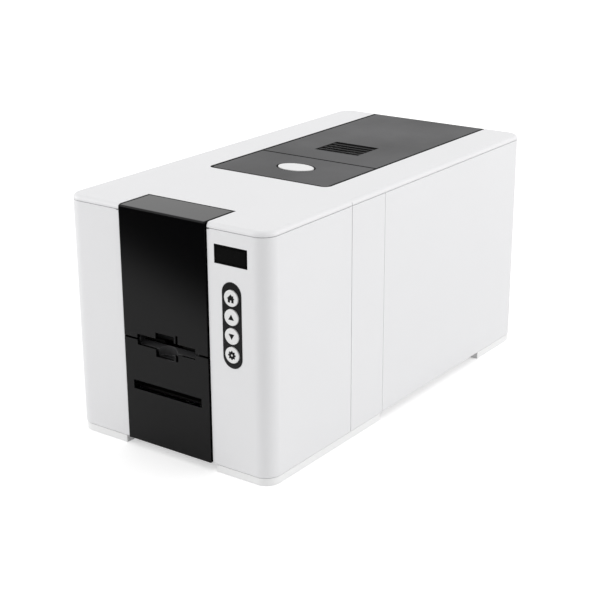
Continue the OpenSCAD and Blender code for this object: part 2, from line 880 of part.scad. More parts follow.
module rear_sockets() {
    z = foot_h + socket_z;
    y0 = case_d - socket_depth;
    y1 = case_d - socket_sink;
    jack_bore_r = 3.2;
    jack_pin_r = 1;
    color("dimgray") {
        difference() {
            socket_block(jack_x, jack_half, y0, y1);
            rod_y(y0 + socket_back, y1 + 1, jack_x, z, jack_bore_r);
        }
        rod_y(y0, y1 - 3, jack_x, z, jack_pin_r);
        difference() {
            socket_block(usb_x, usb_half, y0, y1);
            socket_block(usb_x, usb_half - [2.1, 1.8], y0 + socket_back, y1 + 1);
        }
        socket_block(usb_x, [2.8, 1.6], y0, y1 - 2);
        difference() {
            socket_block(lan_x, lan_half, y0, y1);
            block(lan_x - 6, lan_x + 6, y0 + socket_back, y1 + 1, z - 3.5, z + 4);
            block(lan_x - 3.2, lan_x + 3.2, y0 + socket_back, y1 + 1, z - 5.5, z);
        }
    }
}

module power_switch() {
    z = foot_h + socket_z;
    rim = [1, 1];
    wall = switch_half[1] + 1;
    color([0.1, 0.1, 0.1]) difference() {
        union() {
            socket_block(switch_x, switch_half, case_d - socket_depth, case_d);
            socket_block(switch_x, switch_half + rim, case_d, case_d + switch_rim_t);
        }
        socket_block(switch_x, [switch_half[0] - 1.1, rocker_half + 0.4],
            case_d - socket_depth + socket_back, case_d + 2);
        rod_z(z - wall, z + wall, switch_x, case_d - rocker_sink, rocker_pin_r + run_gap);
    }
}

// The rocker turns on stub pins in the switch's walls, and its two wings stand up from there
module power_rocker() {
    z = foot_h + socket_z;
    reach = switch_half[0] - 2.5;
    pin = switch_half[1] - 0.3;
    color("black") {
        translate([switch_x, at_y(case_d - rocker_sink), z]) rotate([0, 0, rocker_tilt])
            translate([0, 0, -rocker_half]) linear_extrude(2 * rocker_half)
                polygon([[-reach, -2], [reach, -2], [reach, rocker_sink], [0, rocker_sink - 1.1],
                    [-reach, rocker_sink]]);
        rod_z(z - pin, z + pin, switch_x, case_d - rocker_sink, rocker_pin_r);
    }
}

// ---- Display and keys ----

module display_window() {
    color([0.05, 0.05, 0.05])
        block(window_x - window_w / 2, window_x + window_w / 2, window_sink, window_sink + window_t,
            foot_h + window_z - window_h / 2, foot_h + window_z + window_h / 2);
}

module key_bezel() {
    color([0.08, 0.08, 0.08]) difference() {
        stadium_y(bezel_w, bezel_h, key_x, foot_h + bezel_z, -bezel_proud, wall_t);
        for (k = [0:3])
            rod_y(-bezel_proud - 1, wall_t + 1, key_x, foot_h + key_z + k * key_pitch, key_hole_r);
    }
}

module key_cap(k) {
    z = foot_h + key_z + k * key_pitch;
    color("white") {
        rod_y(-key_proud, key_flange_y, key_x, z, key_r);
        rod_y(key_flange_y, key_flange_end, key_x, z, key_flange_r);
        rod_y(key_flange_end, stem_end, key_x, z, key_stem_r);
    }
}

module key_menu() { key_cap(0); }
module key_down() { key_cap(1); }
module key_up() { key_cap(2); }
module key_home() { key_cap(3); }

module control_board() {
    color("darkgreen") {
        block(key_x - board_half, key_x + board_half, board_y, board_y + board_t,
            foot_h + boss_low - 4, foot_h + boss_high + 4);
        for (k = [0:3])
            rod_y(board_y - key_switch_h, board_y, key_x, foot_h + key_z + k * key_pitch, key_switch_r);
        block(window_x - window_w / 2 + 1, window_x + window_w / 2 - 1, window_sink + window_t, board_y,
            foot_h + window_z - window_h / 2 + 1, foot_h + window_z + window_h / 2 - 1);
    }
}

// ---- Cover ----

module insert_plan(y0, y1, grow, round_front) {
    hw = insert_half_w + grow;
    r = insert_r + grow;
    if (round_front) {
        translate([-hw, at_y(y0 + r)]) square([2 * hw, y1 - y0 - r]);
        translate([-hw + r, at_y(y0)]) square([2 * (hw - r), y1 - y0]);
        for (s = [-1, 1]) translate([s * (hw - r), at_y(y0 + r)]) circle(r = r);
    } else {
        translate([-hw, at_y(y0)]) square([2 * hw, y1 - y0]);
    }
}

// Upright oval plate on the button's plan, larger by grow all round
module button_plate(z0, z1, grow) {
    translate([button_x, at_y(button_y), z0]) linear_extrude(z1 - z0)
        scale([button_half_w + grow, button_half_d + grow]) circle(r = 1, $fn = 96);
}

module latch_ears(r) {
    for (s = [-1, 1]) mirror([s < 0 ? 1 : 0, 0, 0]) difference() {
        block(ear_x, ear_x + ear_t, latch_pin_y - ear_half, latch_pin_y + ear_half,
            latch_z - ear_half, cover_z);
        rod_x(0, latch_w, latch_pin_y, latch_z, r);
    }
}

module top_cover() {
    vent_half_y = (vent_slots * vent_pitch) / 2;
    room_half = channel_half;
    color("white") {
        difference() {
            union() {
                difference() {
                    translate([0, 0, cover_z]) rounded_slab(cover_tall, edge_r);
                    difference() {
                        translate([0, 0, cover_z - 1]) linear_extrude(cover_tall - cover_t + 1)
                            outline(wall_t);
                        translate([0, 0, cover_z - 1]) linear_extrude(cover_tall)
                            insert_plan(insert_y - wall_t, case_d, wall_t, false);
                        block(-room_half - wall_t, room_half + wall_t, 0, strip_back + seam_gap + wall_t,
                            cover_z - 1, cover_top);
                    }
                }
                barrels(barrel_r, true);
            }
            translate([0, 0, insert_z]) linear_extrude(cover_h)
                insert_plan(insert_y - insert_gap, case_d + 1, insert_gap, true);
            block(-room_half, room_half, -1, strip_back + seam_gap, cover_z - 1, cover_top + 1);
            rod_x(-room_half - wall_t - 1, room_half + wall_t + 1,
                door_axis_y, door_axis_z, door_pin_r + run_gap);
            button_plate(cover_z - 1, cover_top, button_gap);
            block(vent_x - vent_w / 2 + 2, vent_x + vent_w / 2 - 2,
                vent_y - vent_half_y, vent_y + vent_half_y, cover_z - 1, cover_top);
            barrel_room(false);
            barrels(hinge_pin_r + run_gap, true);
            for (s = [-1, 1]) mirror([s < 0 ? 1 : 0, 0, 0])
                block(half_w - slit_depth, half_w + 1, pillar_y - pillar_gap / 2, pillar_y + pillar_gap / 2,
                    cover_z - 1, cover_top - edge_r / 2);
        }
        latch_ears(latch_pin_r);
    }
}

module cover_insert_front() {
    color([0.38, 0.38, 0.38]) difference() {
        translate([0, 0, insert_z]) linear_extrude(insert_t)
            insert_plan(insert_y, insert_seam_y - insert_gap / 2, 0, true);
        button_plate(insert_z - 1, cover_top, button_gap);
    }
}

module cover_insert_rear() {
    vent_half_y = ((vent_slots - 1) * vent_pitch + vent_slot) / 2;
    bar_z = insert_top - vent_sink;
    color([0.38, 0.38, 0.38]) difference() {
        intersection() {
            translate([0, 0, cover_z - insert_sink]) rounded_slab(cover_tall, edge_r);
            translate([0, 0, insert_z]) linear_extrude(cover_h)
                insert_plan(insert_seam_y + insert_gap / 2, case_d, 0, false);
        }
        for (k = [0:vent_slots - 1])
            translate([0, (k - (vent_slots - 1) / 2) * vent_pitch, 0])
                block(vent_x - vent_w / 2, vent_x + vent_w / 2,
                    vent_y - vent_slot / 2, vent_y + vent_slot / 2, insert_z - 1, cover_top);
        for (z = [[insert_z - 1, bar_z - vent_bar_t], [bar_z, cover_top]])
            block(vent_x - vent_w / 2, vent_x + vent_w / 2,
                vent_y - vent_half_y, vent_y + vent_half_y, z[0], z[1]);
        barrel_room(false);
    }
}

module cover_button() {
    color("white") {
        difference() {
            button_plate(button_flange_z + button_flange, cover_top + button_proud, 0);
            button_plate(cover_z - 1, cover_top + button_proud - button_wall, -button_wall);
        }
        button_plate(button_flange_z, button_flange_z + button_flange, flange_grow);
        rod_z(button_stem_z, button_flange_z, button_x, button_y, stem_r);
    }
}

module cover_latch() {
    w = latch_w / 2;
    hook_z = foot_h + keeper_z - keeper_r - nose_clear - nose_h;
    color("dimgray") difference() {
        union() {
            block(-w, w, hook_y, latch_pin_y, latch_top - latch_t, latch_top);
            rod_x(-w, w, latch_pin_y, latch_z, latch_pin_r + latch_eye);
            block(-w, w, hook_y, hook_y + hook_t, hook_z, latch_top);
            block(-w, w, hook_y - nose_l, hook_y, hook_z, hook_z + nose_h);
        }
        rod_x(-w - 1, w + 1, latch_pin_y, latch_z, latch_pin_r + run_gap);
    }
}

module latch_pin() {
    reach = ear_x + ear_t;
    color("silver") rod_x(-reach, reach, latch_pin_y, latch_z, latch_pin_r);
}

module cover_hinge_pins() {
    color("silver") for (s = [-1, 1]) translate([s * hinge_x, 0, 0])
        rod_x(-hinge_half, hinge_half, hinge_y, hinge_z, hinge_pin_r);
}

module hopper_door() {
    color([0.08, 0.08, 0.08]) {
        difference() {
            union() {
                block(-strip_half, strip_half, -strip_proud, strip_t - strip_proud,
                    door_z, strip_top - fold_r);
                block(-strip_half, strip_half, fold_r - strip_proud, door_axis_y,
                    strip_top - strip_t, strip_top);
                rod_x(-strip_half, strip_half, fold_r - strip_proud, strip_top - fold_r, fold_r);
                rod_x(-strip_half, strip_half, door_axis_y, door_axis_z, strip_t / 2);
            }
            mouth_cut(-strip_proud - 1, strip_t);
        }
        for (s = [-1, 1]) mirror([s < 0 ? 1 : 0, 0, 0])
            rod_x(strip_half - 1, channel_half + wall_t, door_axis_y, door_axis_z, door_pin_r);
    }
}

module fan_frame() {
    half = fan_side / 2;
    color([0.15, 0.15, 0.15]) {
        difference() {
            block(vent_x - half, vent_x + half, vent_y - half, vent_y + half, fan_z, cover_z);
            rod_z(fan_z - 1, cover_z + 1, vent_x, vent_y, fan_bore_r);
        }
        for (a = [30, 150, 270]) translate([vent_x, at_y(vent_y), fan_z]) rotate([0, 0, a])
            translate([0, -strut_w / 2, 0]) cube([fan_bore_r + 0.5, strut_w, strut_t]);
        rod_z(fan_z, fan_z + strut_t, vent_x, vent_y, hub_r);
        rod_z(fan_z, cover_z - 2, vent_x, vent_y, fan_pin_r);
    }
}

module fan_rotor() {
    z0 = fan_z + strut_t + 0.5;
    z1 = cover_z - 1;
    color([0.2, 0.2, 0.2]) difference() {
        union() {
            rod_z(z0, z1, vent_x, vent_y, hub_r);
            for (k = [0:fan_blades - 1]) translate([vent_x, at_y(vent_y), (z0 + z1) / 2])
                rotate([0, 0, k * 360 / fan_blades]) translate([hub_r - 1, 0, 0])
                    rotate([blade_angle, 0, 0]) translate([0, -blade_chord / 2, -blade_t / 2])
                        cube([fan_bore_r - hub_r - 0.6, blade_chord, blade_t]);
        }
        rod_z(z0 - 1, z1 + 1, vent_x, vent_y, fan_pin_r + run_gap);
    }
}

module head_bracket() {
    color("silver") {
        block(-head_half, head_half, bracket_y, bracket_y + bracket_t, head_z + bracket_lift, cover_z);
        block(-head_half, head_half, bracket_y, bracket_y + bracket_foot, cover_z - bracket_t, cover_z);
    }
}

module print_head() {
    y0 = platen_y - head_front;
    back = bracket_y - head_back_t;
    bar_top = head_z + head_bar_t;
    color("lightgray") {
        block(-head_half, head_half, y0, bracket_y, head_z, bar_top);
        block(-head_half, head_half, back, bracket_y, bar_top, bar_top + fin_pitch * fins);
        for (k = [0:fins - 1]) translate([0, 0, bar_top + fin_pitch / 2 + k * fin_pitch])
            block(-head_half, head_half, y0, back, 0, fin_t);
    }
}

// ---- Card path ----

module side_plate(side) {
    x0 = plate_half;
    x1 = plate_half + plate_t;
    low = floor_z + plate_low;
    mid = floor_z + plate_mid;
    high = foot_h + keeper_z + keeper_tab;
    tab = keeper_tab;
    slope = keeper_tab / 2;
    color("silver") mirror([side < 0 ? 1 : 0, 0, 0]) difference() {
        union() {
            translate([x0, at_y(0), 0]) rotate([90, 0, 90]) linear_extrude(plate_t)
                polygon([[plate_y, deck_z], [plate_end, deck_z], [plate_end, floor_z + 10],
                    [supply_y + supply_r + 11, mid], [keeper_y + tab + slope, mid], [keeper_y + tab, high],
                    [keeper_y - tab, high], [keeper_y - tab - slope, low], [plate_y, low]]);
            block(x0, x1 + flange_w, plate_y, plate_end, deck_z, deck_z + plate_t);
        }
        for (y = [pick_y, feed_y, platen_y, exit_y]) rod_x(x0 - 1, x1 + 1, y, row_z, bore_r);
        for (y = [feed_y, exit_y]) rod_x(x0 - 1, x1 + 1, y, pinch_z, idle_bore_r);
        rod_x(x0 - 1, x1 + 1, clean_y, clean_z, idle_bore_r);
        rod_x(x0 - 1, x1 + 1, diverter_y, diverter_axis_z, idle_bore_r);
        if (side < 0) rod_x(x0 - 1, x1 + 1, motor_y, motor_axis_z, motor_boss_r);
    }
}

module side_plate_left() { side_plate(-1); }
module side_plate_right() { side_plate(1); }

module cross_ties() {
    color("silver") {
        rod_x(-plate_half, plate_half, plate_y + tie_inset, deck_z + tie_lift, tie_r);
        rod_x(-plate_half, plate_half, plate_end - tie_inset, deck_z + tie_lift, tie_r);
        rod_x(-plate_half, plate_half, hopper_end + 7, floor_z + 30, tie_r);
        rod_x(-plate_half, plate_half, keeper_y, foot_h + keeper_z, keeper_r);
    }
}

module input_hopper() {
    z0 = floor_z - hopper_t;
    in = hopper_in_w / 2;
    slot_l = roll_r - 1.6;
    color("dimgray") difference() {
        union() {
            block(-hopper_half, hopper_half, hopper_y, hopper_end, z0, floor_z);
            for (s = [-1, 1]) mirror([s < 0 ? 1 : 0, 0, 0]) {
                block(in, hopper_half, hopper_y, hopper_end, z0, hopper_top);
                block(in - hopper_lip, hopper_half, hopper_y, hopper_y + hopper_t, floor_z + 8, hopper_top);
                for (y = [plate_y + 8, hopper_end - hopper_ear - 4])
                    block(hopper_half, plate_half, y, y + hopper_ear, floor_z + 14, floor_z + 14 + hopper_t);
            }
            block(-hopper_half, hopper_half, hopper_end - hopper_t, hopper_end,
                floor_z + gate_h, hopper_top);
        }
        block(-pick_half - 1, pick_half + 1, pick_y - slot_l, pick_y + slot_l, z0 - 1, floor_z + 1);
        block(notch_x - notch_w / 2, notch_x + notch_w / 2, hopper_y - 1, hopper_y + finger_room,
            z0 - 1, floor_z + 1);
    }
}

module card_weight() {
    half = hopper_in_w / 2 - move_gap;
    y0 = hopper_y + hopper_t + move_gap;
    y1 = hopper_end - hopper_t - move_gap;
    z0 = floor_z + 0.3;
    grip_half = 14;
    grip_h = 9;
    color("gray") {
        block(-half, half, y0, y1, z0, z0 + weight_t);
        block(-grip_half, grip_half, y0 + 4, y0 + 8, z0 + weight_t, z0 + weight_t + grip_h);
        block(-grip_half, grip_half, y0 + 4, y0 + 16, z0 + weight_t + grip_h - 2, z0 + weight_t + grip_h);
    }
}

module driven_shaft(y, x0) {
    color("silver") {
        rod_x(x0, shaft_end, y, row_z, shaft_r);
        rod_x(pulley_x, pulley_x + pulley_w, y, row_z, pulley_r);
    }
}

module sleeve(half, y) {
    color([0.12, 0.12, 0.12]) difference() {
        rod_x(-half, half, y, row_z, roll_r);
        rod_x(-half - 1, half + 1, y, row_z, shaft_r);
    }
}

module pick_shaft() { driven_shaft(pick_y, pulley_x - 1); }
module feed_shaft() { driven_shaft(feed_y, pulley_x - 1); }
module exit_shaft() { driven_shaft(exit_y, pulley_x - 1); }
module platen_shaft() {
    driven_shaft(platen_y, outer_pulley_x - 1);
    color("silver") rod_x(outer_pulley_x, outer_pulley_x + pulley_w, platen_y, row_z, pulley_r);
}

module pick_roller() { sleeve(pick_half, pick_y); }
module feed_roller() { sleeve(roll_half, feed_y); }
module platen_roller() { sleeve(roll_half, platen_y); }
module exit_roller() { sleeve(roll_half, exit_y); }

module idle_roller(y, z, r) {
    rod_x(-roll_half, roll_half, y, z, r);
    rod_x(-shaft_end, shaft_end, y, z, idle_r);
}

module feed_pinch_roller() { color("silver") idle_roller(feed_y, pinch_z, pinch_r); }
module exit_pinch_roller() { color("silver") idle_roller(exit_y, pinch_z, pinch_r); }
module cleaning_roller() { color("steelblue") idle_roller(clean_y, clean_z, clean_r); }

module output_chute() {
    h = chute_gap / 2;
    l = chute_end - chute_start;
    color("dimgray") {
        translate([0, at_y(chute_start), foot_h + slot_z]) rotate([chute_slope, 0, 0]) {
            for (s = [-1, 1]) translate([-chute_half, 0, s * (h + chute_t / 2) - chute_t / 2])
                cube([2 * chute_half, l, chute_t]);
            for (s = [-1, 1]) translate([s * (chute_half - chute_t / 2) - chute_t / 2, 0, -h])
                cube([chute_t, l, 2 * h]);
            for (s = [-1, 1], y = [chute_ear_y, l - 2 * chute_ear_y]) mirror([s < 0 ? 1 : 0, 0, 0])
                translate([chute_half - 0.5, y, -1]) cube([plate_half - chute_half + 0.5, chute_ear_l, 2]);
        }
    }
}

module diverter() {
    color("dimgray") {
        block(-roll_half, roll_half, diverter_y - diverter_l, diverter_y, floor_z - 2.2, floor_z - 0.2);
        rod_x(-shaft_end, shaft_end, diverter_y, diverter_axis_z, idle_r);
        for (s = [-1, 1]) mirror([s < 0 ? 1 : 0, 0, 0])
            block(roll_half - 4, roll_half, diverter_y - 8, diverter_y, diverter_axis_z, floor_z - 0.2);
    }
}

// ---- Drive ----

// Belt round two pulleys of one size, at depth y and height z
module belt(x0, w, y0, z0, y1, z1) {
    l = norm([y1 - y0, z1 - z0]);
    a = atan2(z1 - z0, y1 - y0);
    outer = belt_r + belt_t;
    translate([x0, at_y(y0), z0]) rotate([a, 0, 0]) rotate([90, 0, 90]) linear_extrude(w) difference() {
        union() {
            translate([0, -outer]) square([l, 2 * outer]);
            circle(r = outer);
            translate([l, 0]) circle(r = outer);
        }
        translate([0, -belt_r]) square([l, 2 * belt_r]);
        circle(r = belt_r);
        translate([l, 0]) circle(r = belt_r);
    }
}

module drive_belts() {
    w = pulley_w - 2 * belt_side;
    color([0.1, 0.1, 0.1]) {
        belt(pulley_x + belt_side, w, pick_y, row_z, exit_y, row_z);
        belt(outer_pulley_x + belt_side, w, motor_y, motor_axis_z, platen_y, row_z);
    }
}

module drive_motor() {
    half = motor_side / 2;
    color("gray") difference() {
        union() {
            block(-plate_half, motor_l - plate_half, motor_y - half, motor_y + half,
                motor_axis_z - half, motor_axis_z + half);
            rod_x(-plate_half - plate_t, -plate_half, motor_y, motor_axis_z, motor_boss_r);
        }
        rod_x(-plate_half - plate_t - 1, 2 - plate_half, motor_y, motor_axis_z, motor_shaft_r + run_gap);
    }
}

module motor_pulley() {
    color("silver") {
        rod_x(outer_pulley_x - 1, 1.7 - plate_half, motor_y, motor_axis_z, motor_shaft_r);
        rod_x(outer_pulley_x, outer_pulley_x + pulley_w, motor_y, motor_axis_z, pulley_r);
    }
}

module main_board() {
    y0 = platen_y - 3;
    y1 = plate_end - 20;
    half = plate_half - 6;
    board_z = deck_z + board_lift;
    top = board_z + board_t;
    color("darkgreen") {
        block(-half, half, y0, y1, board_z, top);
        for (x = [-half + 4, half - 4], y = [y0 + 4, y1 - 4]) rod_z(deck_z, board_z, x, y, boss_r);
        block(-14, chip_w - 14, y0 + header_y, y0 + header_y + chip_w, top, top + chip_t);
        block(14, 14 + driver_w, y0 + header_y, y0 + header_y + driver_w, top, top + chip_t);
        for (k = [0:3]) rod_z(top, top + cap_h, -26 + cap_pitch * k, y1 - 14, cap_r);
        block(3 - half, 3 - half + header_w, y0 + header_y, y0 + header_y + header_l, top, top + header_h);
    }
}

// ---- Ribbon ----

module ribbon_cassette() {
    x0 = cassette_half - cassette_t;
    y0 = takeup_y - takeup_r - 5;
    y1 = supply_y + supply_r + 3;
    g = [platen_y - guide_off, platen_y + guide_off];
    color([0.85, 0.85, 0.9]) {
        for (s = [-1, 1]) mirror([s < 0 ? 1 : 0, 0, 0]) {
            difference() {
                union() {
                    block(x0, cassette_half, y0, y1, cassette_z, cassette_top);
                    for (y = g)
                        block(x0, cassette_half, y - 3, y + 3, guide_z - guide_r - 1, cassette_z + 1);
                    for (y = [y0 + 2, y1 - 14])
                        block(cassette_half, plate_half, y, y + 10, cassette_z, cassette_z + 3);
                }
                rod_x(x0 - 1, cassette_half + 1, takeup_y, spool_axis_z, journal_bore_r);
                rod_x(x0 - 1, cassette_half + 1, supply_y, spool_axis_z, journal_bore_r);
            }
        }
        for (y = g) rod_x(-x0, x0, y, guide_z, guide_r);
        rod_x(-x0, x0, y1 - 4, cassette_top - 4, grip_bar_r);
    }
}

module spool(y, r) {
    rod_x(-film_half, film_half, y, spool_axis_z, r);
    rod_x(-film_half - 3, film_half + 3, y, spool_axis_z, core_r);
    rod_x(-cassette_half - 3, cassette_half + 3, y, spool_axis_z, journal_r);
}

module takeup_spool() { color("dimgray") spool(takeup_y, takeup_r); }
module supply_spool() { color("gold") spool(supply_y, supply_r); }

// Film between two points of its side view, each [depth, height]
module film_run(a, b) {
    d = b - a;
    over = film_t / 2;
    translate([-film_half, at_y(a[0]), a[1]]) rotate([atan2(d[1], d[0]), 0, 0])
        translate([0, -over, 0]) cube([2 * film_half, norm(d) + 2 * over, film_t]);
}

module ribbon_film() {
    side = supply_r / 40 + 0.3;
    bend_r = guide_r + 0.9;
    front_guide = [platen_y - guide_off, guide_z];
    rear_guide = [platen_y + guide_off, guide_z];
    path = concat(
        [[takeup_y + takeup_r + side, spool_axis_z]],
        [for (a = [190, 235, 280]) front_guide + bend_r * [cos(a), sin(a)]],
        [[platen_y - film_flat, film_z], [platen_y + film_flat, film_z]],
        [for (a = [260, 305, 350]) rear_guide + bend_r * [cos(a), sin(a)]],
        [[supply_y - supply_r - side, spool_axis_z]]);
    color("gold") for (k = [0:len(path) - 2]) film_run(path[k], path[k + 1]);
}

base_pan();
front_feet();
rear_feet();
front_housing();
lower_panel();
mouth_liner();
pillar_left();
pillar_right();
side_panel_left();
side_panel_right();
rear_panel();
rear_screws();
display_window();
key_bezel();
key_home();
key_up();
key_down();
key_menu();
control_board();
top_cover();
cover_insert_front();
cover_insert_rear();
cover_button();
cover_latch();
latch_pin();
cover_hinge_pins();
hopper_door();
fan_frame();
fan_rotor();
head_bracket();
print_head();
side_plate_left();
side_plate_right();
cross_ties();
input_hopper();
card_weight();
pick_shaft();
pick_roller();
feed_shaft();
feed_roller();
platen_shaft();
platen_roller();
exit_shaft();
exit_roller();
feed_pinch_roller();
exit_pinch_roller();
cleaning_roller();
ribbon_cassette();
takeup_spool();
supply_spool();
ribbon_film();
drive_motor();
motor_pulley();
drive_belts();
output_chute();
diverter();
main_board();
power_switch();
power_rocker();
rear_sockets();
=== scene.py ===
import json
import math

import bmesh
import bpy
from mathutils import Matrix, Vector

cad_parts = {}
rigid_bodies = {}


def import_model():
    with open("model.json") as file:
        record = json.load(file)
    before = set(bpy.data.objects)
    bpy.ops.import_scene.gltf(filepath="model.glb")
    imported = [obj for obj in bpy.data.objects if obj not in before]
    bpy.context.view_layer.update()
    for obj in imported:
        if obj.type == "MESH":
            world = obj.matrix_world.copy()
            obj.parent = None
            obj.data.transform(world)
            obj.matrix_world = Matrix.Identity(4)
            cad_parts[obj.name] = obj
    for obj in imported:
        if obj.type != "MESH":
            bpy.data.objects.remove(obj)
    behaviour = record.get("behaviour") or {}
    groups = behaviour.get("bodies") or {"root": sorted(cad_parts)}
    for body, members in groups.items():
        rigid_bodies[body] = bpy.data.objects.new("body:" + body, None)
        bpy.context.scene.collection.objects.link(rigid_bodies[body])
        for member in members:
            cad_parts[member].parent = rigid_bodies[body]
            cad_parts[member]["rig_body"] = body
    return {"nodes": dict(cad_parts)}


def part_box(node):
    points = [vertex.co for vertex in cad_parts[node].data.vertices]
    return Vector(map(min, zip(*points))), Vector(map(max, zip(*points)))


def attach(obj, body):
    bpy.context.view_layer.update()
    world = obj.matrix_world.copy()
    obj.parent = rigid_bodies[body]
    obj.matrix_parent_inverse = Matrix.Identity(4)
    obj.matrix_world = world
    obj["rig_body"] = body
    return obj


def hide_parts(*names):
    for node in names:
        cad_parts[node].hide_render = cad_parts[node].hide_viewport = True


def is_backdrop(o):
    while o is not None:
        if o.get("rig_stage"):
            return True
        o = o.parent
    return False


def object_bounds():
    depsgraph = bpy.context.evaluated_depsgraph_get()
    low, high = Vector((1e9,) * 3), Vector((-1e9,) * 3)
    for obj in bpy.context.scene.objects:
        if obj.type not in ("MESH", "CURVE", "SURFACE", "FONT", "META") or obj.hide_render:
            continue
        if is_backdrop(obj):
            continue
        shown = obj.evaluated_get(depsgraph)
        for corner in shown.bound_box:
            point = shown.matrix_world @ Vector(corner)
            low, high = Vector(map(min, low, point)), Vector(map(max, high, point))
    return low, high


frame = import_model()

cad_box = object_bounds()


# ---- Camera ----
# It looks at the printer from in front, from its right and from above, through a lens about twice as
# long as a normal one. The picture plane is 36 mm wide and square.

MM = 0.001
scene = bpy.context.scene
camera_place = Vector((652.1, -925.8, 473.4)) * MM
camera_aim = Vector((101.3, -160.5, 140.2)) * MM
camera_roll = -0.31


def new_object(name, data):
    """An object with this data, in the scene."""
    made = bpy.data.objects.new(name, data)
    scene.collection.objects.link(made)
    return made


def point_at(item, place, target, roll=0.0):
    """Puts a camera or a lamp at a place, turned to a target and rolled by so many degrees."""
    turn = (Vector(target) - Vector(place)).to_track_quat("-Z", "Y")
    item.location = place
    item.rotation_mode = "QUATERNION"
    item.rotation_quaternion = turn @ Matrix.Rotation(math.radians(roll), 4, "Z").to_quaternion()


camera_data = bpy.data.cameras.new("camera")
camera_data.sensor_width = 36
camera_data.lens = 83.55
camera_data.clip_start = 0.01
camera_data.clip_end = 60
camera = new_object("camera", camera_data)
point_at(camera, camera_place, camera_aim, camera_roll)
scene.camera = camera


# ---- Light ----
# A white tent gives most of the light. One lamp at the left lifts the front face, one at the right
# and behind lifts the side, and one above lifts the top, so the corner between front and side stays
# a little darker than either. Reflections and the camera see the tent at plain white.

scene.view_settings.view_transform = "Standard"
tent_light = 0.79
lamp_target = (0, 0, 0.1)
lamps = [
    # name, place, side, watts
    ("left_lamp", (-2.6, -1.5, 0.9), 1.4, 30),
    ("right_lamp", (2.4, 1.7, 1.1), 1.6, 28),
    ("top_lamp", (0.3, 0.5, 3.0), 1.8, 6),
]


def new_node(tree, kind, inputs=None, **settings):
    """A node with these settings. Each input gets its value, or a link where that is a socket."""
    node = tree.nodes.new(kind)
    for name, value in settings.items():
        setattr(node, name, value)
    for name, value in (inputs or {}).items():
        socket = node.inputs[name]
        if isinstance(value, bpy.types.NodeSocket):
            tree.links.new(value, socket)
        else:
            socket.default_value = (*value, 1) if socket.type == "RGBA" else value
    return node


def maths(tree, operation, *operands):
    """The output of a Math node. Each operand is a number or a socket."""
    return new_node(tree, "ShaderNodeMath", dict(enumerate(operands)), operation=operation).outputs[0]


world = bpy.data.worlds.new("tent")
scene.world = world
world.use_nodes = True
tree = world.node_tree
tree.nodes.clear()
ray = new_node(tree, "ShaderNodeLightPath").outputs
plain = maths(tree, "MAXIMUM", ray["Is Camera Ray"], ray["Is Glossy Ray"])
seen = maths(tree, "MAXIMUM", plain, ray["Is Transmission Ray"])
strength = maths(tree, "MULTIPLY_ADD", seen, 1 - tent_light, tent_light)
background = new_node(tree, "ShaderNodeBackground", {"Color": (1, 1, 1), "Strength": strength})
new_node(tree, "ShaderNodeOutputWorld", {"Surface": background.outputs[0]})

for name, place, side, watts in lamps:
    lamp_data = bpy.data.lights.new(name, "AREA")
    lamp_data.shape = "SQUARE"
    lamp_data.size = side
    lamp_data.energy = watts
    point_at(new_object(name, lamp_data), place, lamp_target)


# ---- Floor ----
# Matte white paper. The camera sees it a little brighter than its light makes it, so that it meets
# the background and still keeps the shadow. Glossy rays alone see it painted dark from about a fifth
# of a metre in front of the printer, at a slant: a painted reflection that darkens the glossy parts.

paper_half = 20
paper_lift = 0.42
reflection_dark_start = -0.40
reflection_dark_fade = 0.05
reflection_dark_slant = -0.4


def fade(tree, value, start, stop):
    """A socket that goes smoothly from nought at the start to one at the stop."""
    inputs = {"Value": value, "From Min": start, "From Max": stop}
    edge = new_node(tree, "ShaderNodeMapRange", inputs, interpolation_type="SMOOTHSTEP")
    return edge.outputs["Result"]


def plain_mesh(name, shape):
    """The mesh of a bmesh, which is freed."""
    mesh = bpy.data.meshes.new(name)
    shape.to_mesh(mesh)
    shape.free()
    return mesh


paper = bpy.data.materials.new("white_paper")
paper.use_nodes = True
tree = paper.node_tree
tree.nodes.clear()
ray = new_node(tree, "ShaderNodeLightPath").outputs
lift = maths(tree, "MULTIPLY", ray["Is Camera Ray"], paper_lift)
matte = new_node(tree, "ShaderNodeBsdfDiffuse", {"Color": (0.84, 0.84, 0.84)})
glow = new_node(tree, "ShaderNodeEmission", {"Strength": lift})
lit = new_node(tree, "ShaderNodeAddShader", {0: matte.outputs[0], 1: glow.outputs[0]})
# Painted reflection: glossy rays alone see this dark paper, past a slanted line in front of the printer.
dark = new_node(tree, "ShaderNodeBsdfDiffuse", {"Color": (0.01, 0.01, 0.01)})
spot = new_node(tree, "ShaderNodeNewGeometry").outputs["Position"]
split = new_node(tree, "ShaderNodeSeparateXYZ", {0: spot}).outputs
slanted = maths(tree, "MULTIPLY_ADD", split["X"], reflection_dark_slant, split["Y"])
past = fade(tree, slanted, reflection_dark_start + reflection_dark_fade, reflection_dark_start - reflection_dark_fade)
painted_reflection_mask = maths(tree, "MULTIPLY", past, ray["Is Glossy Ray"])
either = new_node(tree, "ShaderNodeMixShader", {0: painted_reflection_mask, 1: lit.outputs[0], 2: dark.outputs[0]})
new_node(tree, "ShaderNodeOutputMaterial", {"Surface": either.outputs[0]})

sheet = bmesh.new()
bmesh.ops.create_grid(sheet, x_segments=1, y_segments=1, size=paper_half)
floor_mesh = plain_mesh("floor", sheet)
floor_mesh.materials.append(paper)
floor = new_object("floor", floor_mesh)
floor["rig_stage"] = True
